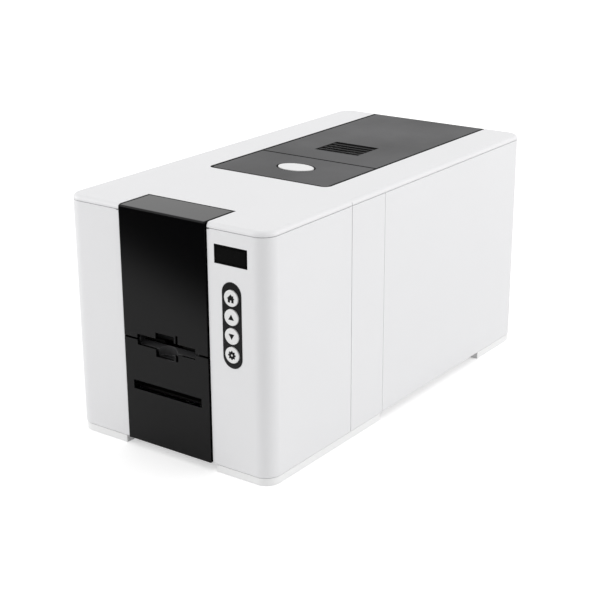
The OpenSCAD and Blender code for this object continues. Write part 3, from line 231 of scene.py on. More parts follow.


# ---- Case: base pan, housing, pillars, side panels and rear panel ----
# White moulded ABS shells, 2.5 mm thick, screwed to the base pan with open seams between them. The
# mould leaves every outside edge eased by a quarter of a millimetre and a fine spark-eroded grain.
# Painted shade: the walls of a recess that holds a black or grey moulding are coloured black, so its seam
# reads dark.

white = (0.80, 0.80, 0.81)
white_roughness = 0.42
grain_swing = 0.08
bump_strength = 0.6
weld = 0.002
flat = math.radians(0.2)
painted_seam_shade = (0.004, 0.004, 0.004)
shade_inset = 0.3
shade_reach = 1.08
shade_soft = 0.04
channel_d = 14.0
surface = [("Colour", "Color"), ("Roughness", "Float"), ("Height", "Float")]


def open_group(name, kind, inputs, outputs):
    """A node group and its inputs. A socket is its name, its kind and perhaps a starting value."""
    group = bpy.data.node_groups.new(name, kind + "NodeTree")
    for way, sockets in (("INPUT", inputs), ("OUTPUT", outputs)):
        for label, sort, *value in sockets:
            socket = group.interface.new_socket(name=label, in_out=way, socket_type="NodeSocket" + sort)
            if value:
                socket.default_value = value[0]
    return group, new_node(group, "NodeGroupInput").outputs


def noise(tree, place, scale, detail=2):
    """A noise socket between nought and one."""
    inputs = {"Vector": place, "Scale": scale, "Detail": detail}
    return new_node(tree, "ShaderNodeTexNoise", inputs).outputs["Fac"]


def scaled(tree, vector, factor):
    """A colour or a vector times a number."""
    inputs = {0: vector, "Scale": factor}
    return new_node(tree, "ShaderNodeVectorMath", inputs, operation="SCALE").outputs[0]


def moulded_grain():
    """The grain and the faint flow marks of a moulded plastic."""
    group, start = open_group("moulded_grain", "Shader", [
        ("Colour", "Color", (0.8, 0.8, 0.8, 1)),
        ("Roughness", "Float", 0.45),
        ("Grains per metre", "Float", 2500.0),
        ("Flow marks", "Float", 0.03),
    ], surface)
    place = new_node(group, "ShaderNodeTexCoord").outputs["Object"]
    grain = noise(group, place, start["Grains per metre"])
    flow = maths(group, "SUBTRACT", noise(group, place, 14, detail=3), 0.5)
    shade = maths(group, "MULTIPLY_ADD", flow, start["Flow marks"], 1.0)
    bite = maths(group, "SUBTRACT", grain, 0.5)
    rough = maths(group, "MULTIPLY_ADD", bite, grain_swing, start["Roughness"])
    colour = scaled(group, start["Colour"], shade)
    new_node(group, "NodeGroupOutput", {"Colour": colour, "Roughness": rough, "Height": grain})
    return group


def new_material(name, ior=1.46, metal=0.0):
    """A material with a Principled shader. Returns it, its tree and the shader."""
    material = bpy.data.materials.new(name)
    material.use_nodes = True
    shader = material.node_tree.nodes["Principled BSDF"]
    shader.inputs["IOR"].default_value = ior
    shader.inputs["Metallic"].default_value = metal
    return material, material.node_tree, shader


def relief(tree, shader, height, depth):
    """Bump from a height socket; depth is in millimetres."""
    inputs = {"Strength": bump_strength, "Distance": depth * MM, "Height": height}
    tree.links.new(new_node(tree, "ShaderNodeBump", inputs).outputs["Normal"], shader.inputs["Normal"])


def coat(tree, shader, group, depth, inputs):
    """Puts a surface group on a shader. It brings its own relief if it has a depth."""
    made = new_node(tree, "ShaderNodeGroup", inputs, node_tree=group).outputs
    tree.links.new(made["Colour"], shader.inputs["Base Color"])
    tree.links.new(made["Roughness"], shader.inputs["Roughness"])
    if depth:
        relief(tree, shader, made["Height"], depth)


def skin(tree, shader, colour, roughness, grain=2500.0, depth=0.02, flow=0.03):
    """Puts the moulded grain on a shader. The colour and the roughness may be sockets."""
    coat(tree, shader, grain_group, depth, {
        "Colour": colour, "Roughness": roughness, "Grains per metre": grain, "Flow marks": flow,
    })


def plastic(name, colour, roughness, ior=1.46, **looks):
    """A moulded plastic of one colour."""
    material, tree, shader = new_material(name, ior)
    skin(tree, shader, colour, roughness, **looks)
    return material


def paint(material, *members):
    """Puts the material on CAD pieces that are shown as they are."""
    for node in members:
        mesh = frame["nodes"][node].data
        mesh.materials.clear()
        mesh.materials.append(material)


def settle(name, mesh, body, slot, *stands_for):
    """Makes a finished mesh a piece of the scene, which rides on a body."""
    piece = new_object(name, mesh)
    if stands_for:
        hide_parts(*stands_for)
    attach(piece, body)


def baked(draft):
    """The plain mesh that an object's modifiers or curve make. The object is deleted."""
    graph = bpy.context.evaluated_depsgraph_get()
    mesh = bpy.data.meshes.new_from_object(draft.evaluated_get(graph))
    bpy.data.objects.remove(draft)
    return mesh


def dressed(mesh, material, turn=35):
    """Gives a mesh its material, smooth faces and an edge wherever they turn by so many degrees."""
    mesh.materials.clear()
    mesh.materials.append(material)
    for face in mesh.polygons:
        face.use_smooth = True
    mesh.set_sharp_from_angle(angle=math.radians(turn))
    return mesh


def eased(node, material, slot, ease=0.25, steps=2, turn=35, sink=0.0):
    """Replaces a CAD piece with a copy whose outside edges are rounded by ease millimetres.

    A sink cuts its front back flat by so many millimetres.
    """
    source = frame["nodes"][node]
    mesh = source.data.copy()
    shape = bmesh.new()
    shape.from_mesh(mesh)
    bmesh.ops.remove_doubles(shape, verts=shape.verts, dist=weld * MM)
    bmesh.ops.dissolve_limit(shape, angle_limit=flat, verts=shape.verts, edges=shape.edges)
    sharp = [
        edge
        for edge in shape.edges
        if len(edge.link_faces) == 2 and edge.calc_face_angle_signed() > math.radians(turn)
    ]
    bmesh.ops.bevel(
        shape, geom=sharp, offset=ease * MM, segments=steps, profile=0.5, affect="EDGES",
        clamp_overlap=False,
    )
    if sink:
        front = min(vert.co.y for vert in shape.verts) + sink * MM
        for vert in shape.verts:
            vert.co.y = max(vert.co.y, front)
    shape.to_mesh(mesh)
    shape.free()
    draft = new_object(node + "_draft", dressed(mesh, material, turn))
    draft.modifiers.new("flatten", "WEIGHTED_NORMAL").keep_sharp = True
    settle(node + "_piece", baked(draft), source["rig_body"], slot, node)


def place_of(tree, output="Object"):
    """The X, Y and Z sockets of a material's Object coordinates, or of its normal."""
    place = new_node(tree, "ShaderNodeTexCoord").outputs[output]
    split = new_node(tree, "ShaderNodeSeparateXYZ", {0: place}).outputs
    return split["X"], split["Y"], split["Z"]


def layered(tree, colour, *layers):
    """A colour with others laid over it, each where its mask is one."""
    # A Mix node's colours are its inputs 6 and 7 and its output 2.
    for mask, over in layers:
        inputs = {"Factor": mask, 6: colour, 7: over}
        colour = new_node(tree, "ShaderNodeMix", inputs, data_type="RGBA").outputs[2]
    return colour


def off_middle(tree, value, start, stop):
    """How far a coordinate is from the middle of a span."""
    return maths(tree, "ABSOLUTE", maths(tree, "SUBTRACT", value, (start + stop) / 2))


def box_mask(tree, soft, *spans):
    """A mask that is one inside a box. Each span is a coordinate socket, a start and a stop in metres."""
    inside = 1.0
    for value, start, stop in spans:
        half = (stop - start) / 2
        edge = fade(tree, off_middle(tree, value, start, stop), half + soft, half - soft)
        inside = maths(tree, "MULTIPLY", edge, inside)
    return inside


def with_painted_shade(name, *boxes):
    """The white plastic with black painted shade inside each box, given as its low and high corners."""
    material, tree, shader = new_material(name)
    place = place_of(tree)
    painted_shade_mask = 0.0
    for low, high in boxes:
        mask = box_mask(tree, shade_soft * MM, *zip(place, low, high))
        painted_shade_mask = maths(tree, "MAXIMUM", painted_shade_mask, mask)
    skin(tree, shader, layered(tree, white, (painted_shade_mask, painted_seam_shade)), white_roughness)
    return material


grain_group = moulded_grain()
white_plastic = plastic("white_moulding", white, white_roughness)
strip_low, strip_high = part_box("lower_panel")
housing_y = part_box("front_housing")[0].y
# The painted shade in the channel behind the strip reaches a little past the strip's sides, so the seams
# beside it read dark.
seam = Vector((shade_reach, 0, 0)) * MM
channel = (
    Vector((strip_low.x, housing_y + shade_inset * MM, cad_box[0][2])) - seam,
    Vector((strip_high.x, housing_y + channel_d * MM, cad_box[1][2])) + seam,
)
eased("front_housing", with_painted_shade("housing_moulding_painted_shade", channel), "white_plastic")
for panel in ("pillar_left", "pillar_right", "side_panel_left", "side_panel_right", "rear_panel"):
    eased(panel, white_plastic, "white_plastic")
paint(white_plastic, "base_pan")


# ---- Feet ----
# Two rails along each side, which carry the case off the desk. They are the same ABS, coloured a
# shade lighter than the case as painted light, which lifts them out of the shade under the case. A
# groove along their top keeps a dark line between them and the case.

foot_plastic = plastic("foot_moulding_painted_light", (0.88, 0.88, 0.88), 0.5)
for rail in ("front_feet", "rear_feet"):
    eased(rail, foot_plastic, "foot_plastic", ease=0.3)


# ---- Rear screws ----
# Four pan-head steel screws hold the rear panel. Each head is turned, domed and stamped with a cross
# recess for the driver, and the shank behind it is a plain rod.

head_r = 3.0
head_t = 1.8
shank_r = 1.5
shank_l = 4.5
recess_r = 1.8
recess_w = 0.9
recess_d = 1.1
cloud_scale = 45
cloud_swing, cloud_base = 0.16, 0.92
line_swing = 0.14


def turned(profile, steps=48):
    """A closed solid turned about the Y axis from (radius, depth) points in millimetres."""
    shape = bmesh.new()
    chain = [shape.verts.new((radius * MM, depth * MM, 0)) for radius, depth in profile]
    edges = [shape.edges.new(pair) for pair in zip(chain, chain[1:])]
    bmesh.ops.spin(
        shape, geom=chain + edges, cent=(0, 0, 0), axis=(0, 1, 0), angle=2 * math.pi, steps=steps,
        use_duplicate=False,
    )
    bmesh.ops.remove_doubles(shape, verts=shape.verts, dist=weld * MM)
    bmesh.ops.recalc_face_normals(shape, faces=shape.faces)
    return shape


def screw_head(material):
    """The head as a mesh that looks along +Y, with its cross recess cut in."""
    head = new_object("head", plain_mesh("head", turned([
        (0, -shank_l), (shank_r, -shank_l), (shank_r, 0), (head_r, 0), (head_r, 0.7),
        (head_r - 0.3, 1.2), (head_r - 1.0, 1.6), (0, head_t),
    ])))
    cross = bmesh.new()
    for long_x, long_z in ((recess_r, recess_w / 2), (recess_w / 2, recess_r)):
        bar = bmesh.ops.create_cube(cross, size=1)["verts"]
        bmesh.ops.scale(cross, vec=(2 * long_x * MM, 2 * recess_d * MM, 2 * long_z * MM), verts=bar)
        bmesh.ops.translate(cross, vec=(0, head_t * MM, 0), verts=bar)
    cutter = new_object("cross", plain_mesh("cross", cross))
    cut = head.modifiers.new("recess", "BOOLEAN")
    cut.operation = "DIFFERENCE"
    cut.object = cutter
    cut.solver = "EXACT"
    cut.use_self = True
    mesh = baked(head)
    bpy.data.objects.remove(cutter)
    return dressed(mesh, material, 30)


def run_nodes(group, values, carrier=None):
    """Runs a Geometry Nodes group once with these named values and returns the plain mesh it makes."""
    carrier = carrier or new_object("carrier", bpy.data.meshes.new("carrier"))
    step = carrier.modifiers.new("nodes", "NODES")
    step.node_group = group
    for item in group.interface.items_tree:
        if item.in_out == "INPUT" and item.name in values:
            step[item.identifier] = values[item.name]
    return baked(carrier)


def end_copies(group, start, copies):
    """Ends a Geometry Nodes group: its copies are made real and get its material."""
    whole = new_node(group, "GeometryNodeRealizeInstances", {0: copies}).outputs[0]
    inputs = {"Geometry": whole, "Material": start["Material"]}
    new_node(group, "NodeGroupOutput", {0: new_node(group, "GeometryNodeSetMaterial", inputs).outputs[0]})
    return group


def repeat_on_grid():
    """Copies of one part on a grid, some left out and some turned by quarters, by two seeds."""
    group, start = open_group("repeat_on_grid", "Geometry", [
        ("Part", "Object"),
        ("Centre", "Vector"),
        ("Tilt", "Vector"),
        ("Size", "Vector"),
        ("Columns", "Int", 2),
        ("Rows", "Int", 2),
        ("Share kept", "Float", 1.0),
        ("Most quarters", "Int", 0),
        ("Seed", "Int", 0),
        ("Material", "Material"),
    ], [("Geometry", "Geometry")])
    size = new_node(group, "ShaderNodeSeparateXYZ", {0: start["Size"]}).outputs
    grid = new_node(group, "GeometryNodeMeshGrid", {
        "Size X": size["X"], "Size Y": size["Y"],
        "Vertices X": start["Columns"], "Vertices Y": start["Rows"],
    })
    points = new_node(group, "GeometryNodeTransform", {
        "Geometry": grid.outputs["Mesh"], "Translation": start["Centre"], "Rotation": start["Tilt"],
    })
    # A Random Value node has its integers at inputs 4 and 5 and output 2, and a yes or no at output 3.
    inputs = {"Probability": start["Share kept"], "Seed": start["Seed"]}
    kept = new_node(group, "FunctionNodeRandomValue", inputs, data_type="BOOLEAN").outputs[3]
    inputs = {4: 0, 5: start["Most quarters"], "Seed": maths(group, "ADD", start["Seed"], 1.0)}
    quarters = new_node(group, "FunctionNodeRandomValue", inputs, data_type="INT").outputs[2]
    turn = maths(group, "MULTIPLY", quarters, math.pi / 2)
    part = new_node(group, "GeometryNodeObjectInfo", {"Object": start["Part"]})
    copies = new_node(group, "GeometryNodeInstanceOnPoints", {
        "Points": points.outputs[0],
        "Selection": kept,
        "Instance": part.outputs["Geometry"],
        "Rotation": new_node(group, "ShaderNodeCombineXYZ", {"Z": turn}).outputs[0],
    })
    return end_copies(group, start, copies.outputs[0])


def rubbed_metal():
    """Fine lines of drawn, rolled or ground metal, along whichever axis is scaled least."""
    group, start = open_group("rubbed_metal", "Shader", [
        ("Lines", "Vector", (40, 2500, 2500)),
        ("Colour", "Color", (0.6, 0.6, 0.6, 1)),
        ("Roughness", "Float", 0.3),
    ], surface)
    place = new_node(group, "ShaderNodeTexCoord").outputs["Object"]
    stretch = new_node(group, "ShaderNodeVectorMath", {0: place, 1: start["Lines"]}, operation="MULTIPLY")
    lines = noise(group, stretch.outputs[0], 1, detail=4)
    shade = maths(group, "MULTIPLY_ADD", noise(group, place, cloud_scale), cloud_swing, cloud_base)
    rough = maths(group, "MULTIPLY_ADD", lines, line_swing, start["Roughness"])
    colour = scaled(group, start["Colour"], shade)
    new_node(group, "NodeGroupOutput", {"Colour": colour, "Roughness": rough, "Height": lines})
    return group


def metal(name, colour, roughness, lines, depth=0.004):
    """A bare metal with its working lines."""
    material, tree, shader = new_material(name, metal=1.0)
    coat(tree, shader, metal_group, depth, {"Lines": lines, "Colour": colour, "Roughness": roughness})
    return material


metal_group = rubbed_metal()
grid_group = repeat_on_grid()
screw_steel = metal("screw_steel", (0.62, 0.62, 0.63), 0.22, (900, 900, 900))
screw_low, screw_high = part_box("rear_screws")
middle = (screw_low + screw_high) / 2
apart = screw_high - screw_low - Vector((2, 2, 2)) * head_r * MM
head = new_object("screw_head", screw_head(screw_steel))
heads = run_nodes(grid_group, {
    "Part": head,
    "Centre": (middle.x, screw_high.y - head_t * MM, middle.z),
    "Tilt": (math.pi / 2, 0, 0),
    "Size": (apart.x, apart.z, 0),
    "Material": screw_steel,
})
bpy.data.objects.remove(head)
settle("rear_screw_heads", heads, "case", "bright_steel", "rear_screws")


# ---- Sockets: power inlet, USB and network ----
# Three black moulded sockets behind the rear panel. The spring contacts, the inlet's centre pin and
# the USB shell are gold or nickel plated strip, pressed into the mouldings from behind.

socket_z = 30.8
socket_face = 190.3
inlet_x = -56
inlet_contact = 2.85
inlet_reach = 3.0
usb_x = -34
usb_contact_x, usb_contact_z = 1.35, 1.65
usb_shell_x, usb_shell_z = 4.25, 4.05
network_x = -12
network_contacts = 8
network_pitch = 1.02
network_contact_z = 3.4
pin_r = 1.02
pin_l = 9.0


def strip(x, z, wide, tall, deep, sunk):
    """The corners of a bar in a socket, from its middle, its size and its ends' depths in the socket."""
    return (
        (x - wide / 2, socket_face - deep, z - tall / 2),
        (x + wide / 2, socket_face - sunk, z + tall / 2),
    )


def bars(boxes, ease=0.0):
    """One mesh of closed boxes, each given as lowest and highest corner in millimetres."""
    shape = bmesh.new()
    for low, high in boxes:
        low, high = Vector(low) * MM, Vector(high) * MM
        box = bmesh.ops.create_cube(shape, size=1)["verts"]
        bmesh.ops.scale(shape, vec=high - low, verts=box)
        bmesh.ops.translate(shape, vec=(low + high) / 2, verts=box)
    if ease:
        bmesh.ops.bevel(
            shape, geom=shape.edges[:], offset=ease * MM, segments=2, profile=0.5, affect="EDGES"
        )
    return plain_mesh("bars", shape)


socket_plastic = plastic("socket_moulding", (0.018, 0.018, 0.019), 0.42, ior=1.5)
plating = metal("contact_plating", (0.78, 0.62, 0.34), 0.18, (600, 600, 600), depth=0.002)
shell_nickel = metal("socket_nickel", (0.66, 0.65, 0.62), 0.24, (60, 1800, 1800))
eased("rear_sockets", socket_plastic, "socket_black", ease=0.15)

contacts = []
for step in range(network_contacts):
    x = network_x + (step - (network_contacts - 1) / 2) * network_pitch
    contacts.append(strip(x, socket_z + network_contact_z, wide=0.44, tall=0.4, deep=10, sunk=2.5))
shell = []
for side in (-1, 1):
    for row in (-1, 1):
        x, z = usb_x + side * usb_contact_x, socket_z + row * usb_contact_z
        contacts.append(strip(x, z, wide=0.6, tall=0.2, deep=9, sunk=2.1))
    x, z = usb_x + side * usb_shell_x, socket_z + side * usb_shell_z
    shell.append(strip(x, socket_z, wide=0.3, tall=8.4, deep=10, sunk=0.1))
    shell.append(strip(usb_x, z, wide=8.8, tall=0.3, deep=10, sunk=0.1))
contacts.append(strip(inlet_x + inlet_contact, socket_z, wide=0.5, tall=1.6, deep=9, sunk=1.5))
settle("socket_contacts", dressed(bars(contacts, ease=0.05), plating), "case", "bright_steel")
settle("usb_shell", dressed(bars(shell), shell_nickel), "case", "bright_steel")

pin = turned([(0, -pin_l), (pin_r, -pin_l), (pin_r, -0.5), (0.75, 0), (0, 0.15)], steps=24)
pin_tip = Vector((inlet_x, socket_face - inlet_reach, socket_z)) * MM
bmesh.ops.translate(pin, vec=pin_tip, verts=pin.verts)
settle("inlet_pin", dressed(plain_mesh("inlet_pin", pin), shell_nickel), "case", "bright_steel")


# ---- Power switch and rocker ----
# A snap-in rocker switch: a glossy black frame with a thin rim, and a rocker on two stub pins with
# the signs for on and off printed in white on its two halves.

rocker_x = 50.0
sign_off = 4.5
half_sign = 1.7 * MM
half_line = 0.32 * MM
switch_black = (0.012, 0.012, 0.013)


def distance(tree, *offsets):
    """How far a place is from another, from its offsets along each axis."""
    square = 0.0
    for value in offsets:
        square = maths(tree, "MULTIPLY_ADD", value, value, square)
    return maths(tree, "SQRT", square)


def within(tree, value, half):
    """A mask that is one where a number is less than half a width from nought."""
    return maths(tree, "LESS_THAN", maths(tree, "ABSOLUTE", value), half)


rocker_print, tree, shader = new_material("rocker_moulding", ior=1.5)
x, _, z = place_of(tree)
up = maths(tree, "SUBTRACT", z, socket_z * MM)
bar = maths(tree, "SUBTRACT", x, (rocker_x + sign_off) * MM)
bar = maths(tree, "MULTIPLY", within(tree, bar, half_line), within(tree, up, half_sign))
ring = distance(tree, up, maths(tree, "SUBTRACT", x, (rocker_x - sign_off) * MM))
ring = within(tree, maths(tree, "SUBTRACT", ring, half_sign), half_line)
signs = layered(tree, switch_black, (maths(tree, "MAXIMUM", bar, ring), (0.75, 0.75, 0.74)))
skin(tree, shader, signs, 0.3)
eased("power_rocker", rocker_print, "socket_black", ease=0.3)
switch_plastic = plastic("switch_moulding", switch_black, 0.28, ior=1.5)
eased("power_switch", switch_plastic, "socket_black", ease=0.2)


# ---- Strip: lower panel and hopper door ----
# Two black ABS mouldings down the middle of the front. The door folds back over the top edge and
# swings up on two stub pins. Its fold is rounded in the mould, and the face is smooth enough to
# mirror the paper in front of the printer. The rim of its top is left matt by the mould.

rim_w = 1.2
rim_soft = 0.15
strip_roughness = 0.13
rim_rougher = 0.8
door_low, door_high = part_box("hopper_door")

strip_plastic, tree, shader = new_material("strip_moulding", ior=1.32)
x, y, z = place_of(tree)
rim = rim_w * MM
face = box_mask(
    tree, rim_soft * MM,
    (x, strip_low.x + rim, strip_high.x - rim), (y, strip_low.y - MM, door_high.y - rim),
)
top = maths(tree, "GREATER_THAN", z, door_high.z - rim)
matt = maths(tree, "MULTIPLY", top, maths(tree, "SUBTRACT", 1.0, face))
roughness = maths(tree, "MULTIPLY_ADD", matt, rim_rougher, strip_roughness)
skin(tree, shader, (0.0018, 0.0018, 0.002), roughness, depth=0.008, flow=0.2)
eased("lower_panel", strip_plastic, "black_plastic", ease=0.2)
eased("hopper_door", strip_plastic, "black_plastic", ease=0.25)


# ---- Mouth liner ----
# The black guide behind the card mouth, with the ramp the cards slide in on and the scoop for a
# finger. It is the same ABS with a coarser spark-eroded face, which takes the shine off it.

liner_plastic = plastic("liner_moulding", (0.016, 0.016, 0.017), 0.5, ior=1.42, depth=0.04)
eased("mouth_liner", liner_plastic, "black_plastic", ease=0.3)


# ---- Display window ----
# A smoked polycarbonate pane over the display, screen-printed black from behind along its border.
# The clear part in the middle shows the dark glass behind it a little lighter.

pane_border = 2.0
pane_soft = 0.08
pane_low, pane_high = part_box("display_window")

window_glass, tree, shader = new_material("smoked_pane", ior=1.45)
x, _, z = place_of(tree)
rim = pane_border * MM
clear = box_mask(
    tree, pane_soft * MM, (x, pane_low.x + rim, pane_high.x - rim), (z, pane_low.z + rim, pane_high.z - rim)
)
smoke = layered(tree, (0.003, 0.003, 0.003), (clear, (0.006, 0.006, 0.006)))
skin(tree, shader, smoke, 0.12, depth=0.002)
eased("display_window", window_glass, "window_black", ease=0.2)


# ---- Key bezel ----
# A long black frame with a raised rim round the four keys, snapped into the front face. It is
# moulded like the strip, with round holes for the keys.

bezel_plastic = plastic("bezel_moulding", (0.0045, 0.0045, 0.005), 0.36, ior=1.36, depth=0.01)
eased("key_bezel", bezel_plastic, "bezel_black", ease=0.25)


# ---- Keys and their signs ----
# Four white round keys of glossy ABS with rounded rims. Each sign is a black inlay that stands a hair
# proud of the key's face: a house, an arrow up, an arrow down and a gearwheel.

sign_proud = 0.06
sign_depth = 0.4
gear_teeth = 8
gear_root, gear_root_share = 2.75, 0.32
gear_tip, gear_tip_share = 3.5, 0.24
gear_hole = 0.8
hole_steps = 32


def polar(radius, share):
    """A point on a circle, clockwise from its top by a share of a turn."""
    return radius * math.sin(2 * math.pi * share), radius * math.cos(2 * math.pi * share)


key_signs = {
    "key_home": [[
        (-3.5, -0.4), (0, 3.2), (1.7, 1.45), (1.7, 2.2), (2.4, 2.2), (2.4, 0.75), (3.5, -0.4), (2.6, -0.4),
        (2.6, -3.2), (0.6, -3.2), (0.6, -1.4), (-0.6, -1.4), (-0.6, -3.2), (-2.6, -3.2), (-2.6, -0.4),
    ]],
    "key_up": [[(-2.6, -1.9), (2.6, -1.9), (0, 2.5)]],
    "key_down": [[(-2.6, 1.9), (0, -2.5), (2.6, 1.9)]],
    "key_menu": [
        [
            polar(radius, (tooth + share) / gear_teeth)
            for tooth in range(gear_teeth)
            for radius, share in (
                (gear_root, -gear_root_share), (gear_tip, -gear_tip_share),
                (gear_tip, gear_tip_share), (gear_root, gear_root_share),
            )
        ],
        [polar(gear_hole, 0.25 - step / hole_steps) for step in range(hole_steps)],
    ],
}


def inlay(outlines, centre, face, depth):
    """A flat upright plate that faces -Y, from outlines in millimetres; an outline inside one is a hole."""
    curve = bpy.data.curves.new("inlay", "CURVE")
    curve.dimensions = "2D"
    curve.fill_mode = "BOTH"
    curve.extrude = depth / 2 * MM
    for outline in outlines:
        line = curve.splines.new("POLY")
        line.points.add(len(outline) - 1)
        line.use_cyclic_u = True
        for point, (across, up) in zip(line.points, outline):
            point.co = (across * MM, up * MM, 0, 1)
    mesh = baked(new_object("inlay", curve))
    stand = Matrix.Translation((centre.x, face + depth / 2 * MM, centre.z))
    mesh.transform(stand @ Matrix.Rotation(math.pi / 2, 4, "X"))
    return mesh


key_plastic = plastic("key_moulding", (0.80, 0.80, 0.80), 0.3, depth=0.006)
sign_ink = plastic("sign_inlay", (0.003, 0.003, 0.003), 0.4, ior=1.3, depth=0.004)
for key, outlines in key_signs.items():
    eased(key, key_plastic, "key_white", ease=0.5, steps=3, sink=sign_proud)
    low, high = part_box(key)
    plate = inlay(outlines, (low + high) / 2, low.y, sign_depth)
    settle(key + "_sign", dressed(plate, sign_ink, 20), key, "bezel_black")


# ---- Circuit boards ----
# Green FR4 with copper tracks under the solder mask. The main board lies on the base pan and carries
# a processor, a motor driver, four capacitors and a header. The upright one carries the key switches
# and the display. The chips are black resin, the capacitors aluminium cans and the small parts
# ceramic blocks with tinned ends.

board_top = 15.9
hair = 0.02
track_pitch = 2.2
track_cell = 0.32
track_bend = 0.85
tracks_per_cell = 5.0
track_share = 0.36
hole_cell = 0.8
hole_share = 0.13
can_start = 75.0
sleeve_top = 27.25
header_end = -28.5
half_l = 1.0
half_w = 0.6
part_tall = 0.7
part_end = 0.4
end_proud = 0.04
parts_middle = (6.0, 54.0)
parts_area = (54.0, 32.0)
parts_seed = 4


def board_tracks():
    """Masks for the tracks and the tinned holes of a board, in its own plane."""
    group, start = open_group("board_tracks", "Shader", [
        ("Across", "Float", 0.0),
        ("Along", "Float", 0.0),
        ("Pitch", "Float", track_pitch * MM),
    ], [("Tracks", "Float"), ("Holes", "Float")])
    both = new_node(group, "ShaderNodeCombineXYZ", {"X": start["Across"], "Y": start["Along"]}).outputs[0]
    place = scaled(group, both, maths(group, "DIVIDE", 1.0, start["Pitch"]))
    inputs = {"Vector": place, "Scale": track_cell, "Randomness": track_bend}
    cells = new_node(group, "ShaderNodeTexVoronoi", inputs, distance="CHEBYCHEV").outputs["Distance"]
    rings = maths(group, "FRACT", maths(group, "MULTIPLY", cells, tracks_per_cell))
    dots = new_node(group, "ShaderNodeTexVoronoi", {"Vector": place, "Scale": hole_cell})
    new_node(group, "NodeGroupOutput", {
        "Tracks": maths(group, "LESS_THAN", rings, track_share),
        "Holes": maths(group, "LESS_THAN", dots.outputs["Distance"], hole_share),
    })
    return group


def board(name, across, along):
    """Solder mask over tracks; across and along say which of X, Y and Z lie in the board."""
    material, tree, shader = new_material(name, ior=1.5)
    x, y, z = place = place_of(tree)
    inputs = {"Across": place[across], "Along": place[along]}
    made = new_node(tree, "ShaderNodeGroup", inputs, node_tree=tracks_group).outputs
    colour = layered(
        tree, (0.006, 0.075, 0.028),
        (made["Tracks"], (0.018, 0.150, 0.052)), (made["Holes"], (0.58, 0.58, 0.56)),
    )
    metallic = made["Holes"]
    if along == 1:
        # What stands on the main board: anything, the capacitors' cans, their sleeves, the header.
        part = maths(tree, "GREATER_THAN", z, (board_top + hair) * MM)
        can = maths(tree, "MULTIPLY", part, maths(tree, "GREATER_THAN", y, can_start * MM))
        sleeve = maths(tree, "MULTIPLY", can, maths(tree, "LESS_THAN", z, sleeve_top * MM))
        header = maths(tree, "MULTIPLY", part, maths(tree, "LESS_THAN", x, header_end * MM))
        colour = layered(
            tree, colour, (part, (0.012, 0.012, 0.013)), (can, (0.62, 0.62, 0.62)),
            (sleeve, (0.02, 0.03, 0.07)), (header, (0.58, 0.56, 0.48)),
        )
        bare = maths(tree, "SUBTRACT", 1.0, part)
        metallic = maths(tree, "MULTIPLY_ADD", metallic, bare, maths(tree, "SUBTRACT", can, sleeve))
    tree.links.new(metallic, shader.inputs["Metallic"])
    skin(tree, shader, colour, 0.32, depth=0.004)
    return material


tracks_group = board_tracks()
board_flat = board("board_flat", 0, 1)
board_upright = board("board_upright", 0, 2)
paint(board_flat, "main_board")
paint(board_upright, "control_board")

body = [((part_end - half_l, -half_w, 0), (half_l - part_end, half_w, part_tall - end_proud))]
ends = [
    ((start, -half_w, 0), (start + part_end, half_w, part_tall))
    for start in (-half_l, half_l - part_end)
]
tin = metal("tinned_ends", (0.66, 0.66, 0.65), 0.3, (900, 900, 900))
ceramic = plastic("ceramic_parts", (0.10, 0.075, 0.05), 0.5, depth=0.005)
for name, boxes, material, slot in (
    ("board_part_bodies", body, ceramic, "inner_black"),
    ("board_part_ends", ends, tin, "bright_steel"),
):
    part = new_object("part", bars(boxes, ease=0.06))
    copies = run_nodes(grid_group, {
        "Part": part,
        "Centre": Vector((*parts_middle, board_top)) * MM,
        "Size": Vector((*parts_area, 0)) * MM,
        "Columns": 12,
        "Rows": 8,
        "Share kept": 0.6,
        "Most quarters": 1,
        "Seed": parts_seed,
        "Material": material,
    })
    bpy.data.objects.remove(part)
    settle(name, dressed(copies, material), "case", slot)


# ---- Cover ----
# The lid of the same white ABS, 2.5 mm thick with a rounded rim, hinged at the back. Its two grey
# inserts are thinner black mouldings that drop into a recess and meet in an open seam. Only their
# upward faces are coloured matte grey through a mask; their eased edges and walls, and bands along the rim,
# either side of the seam and round the button, stay black as painted shade. The vent gets only part of the
# grey, so it is darker.

recess_floor = 1.6
notch_d = 12.0
insert_r = 5.0
edge_shade_w = 1.6
edge_shade_soft = 0.12
seam_shade_w = 0.6
vent_x, vent_y = -1.35, 51.7
vent_w, vent_d = 44.5, 33.4
vent_dark_share = 0.6
button_flange = 0.6
level = 0.95
dark_band_roughness, painted_roughness = 1.0, 0.5


def round_mask(tree, radius, soft, *spans):
    """A mask that is one inside a rectangle with round corners. The spans are as for box_mask."""
    past = []
    for value, start, stop in spans:
        over = maths(tree, "SUBTRACT", off_middle(tree, value, start, stop), (stop - start) / 2 - radius)
        past.append(maths(tree, "MAXIMUM", over, 0.0))
    return fade(tree, distance(tree, *past), radius + soft, radius - soft)


cover_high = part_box("top_cover")[1].z - shade_inset * MM / 2
front_low, front_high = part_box("cover_insert_front")
rear_low, rear_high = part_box("cover_insert_rear")
# Painted shade: the cover is coloured black in the recess under the inserts and round the strip's notch, a
# little past their edges, so the seams there read dark.
around = Vector((shade_reach, shade_reach, 0)) * MM
recess = (
    Vector((front_low.x, front_low.y, front_low.z - recess_floor * MM)) - around,
    Vector((rear_high.x, rear_high.y, cover_high)) + around,
)
notch = (
    Vector((strip_low.x, door_low.y, door_high.z - notch_d * MM)) - around,
    Vector((strip_high.x, door_high.y, cover_high)) + around,
)
eased("top_cover", with_painted_shade("cover_moulding_painted_shade", recess, notch), "white_plastic", ease=0.3)

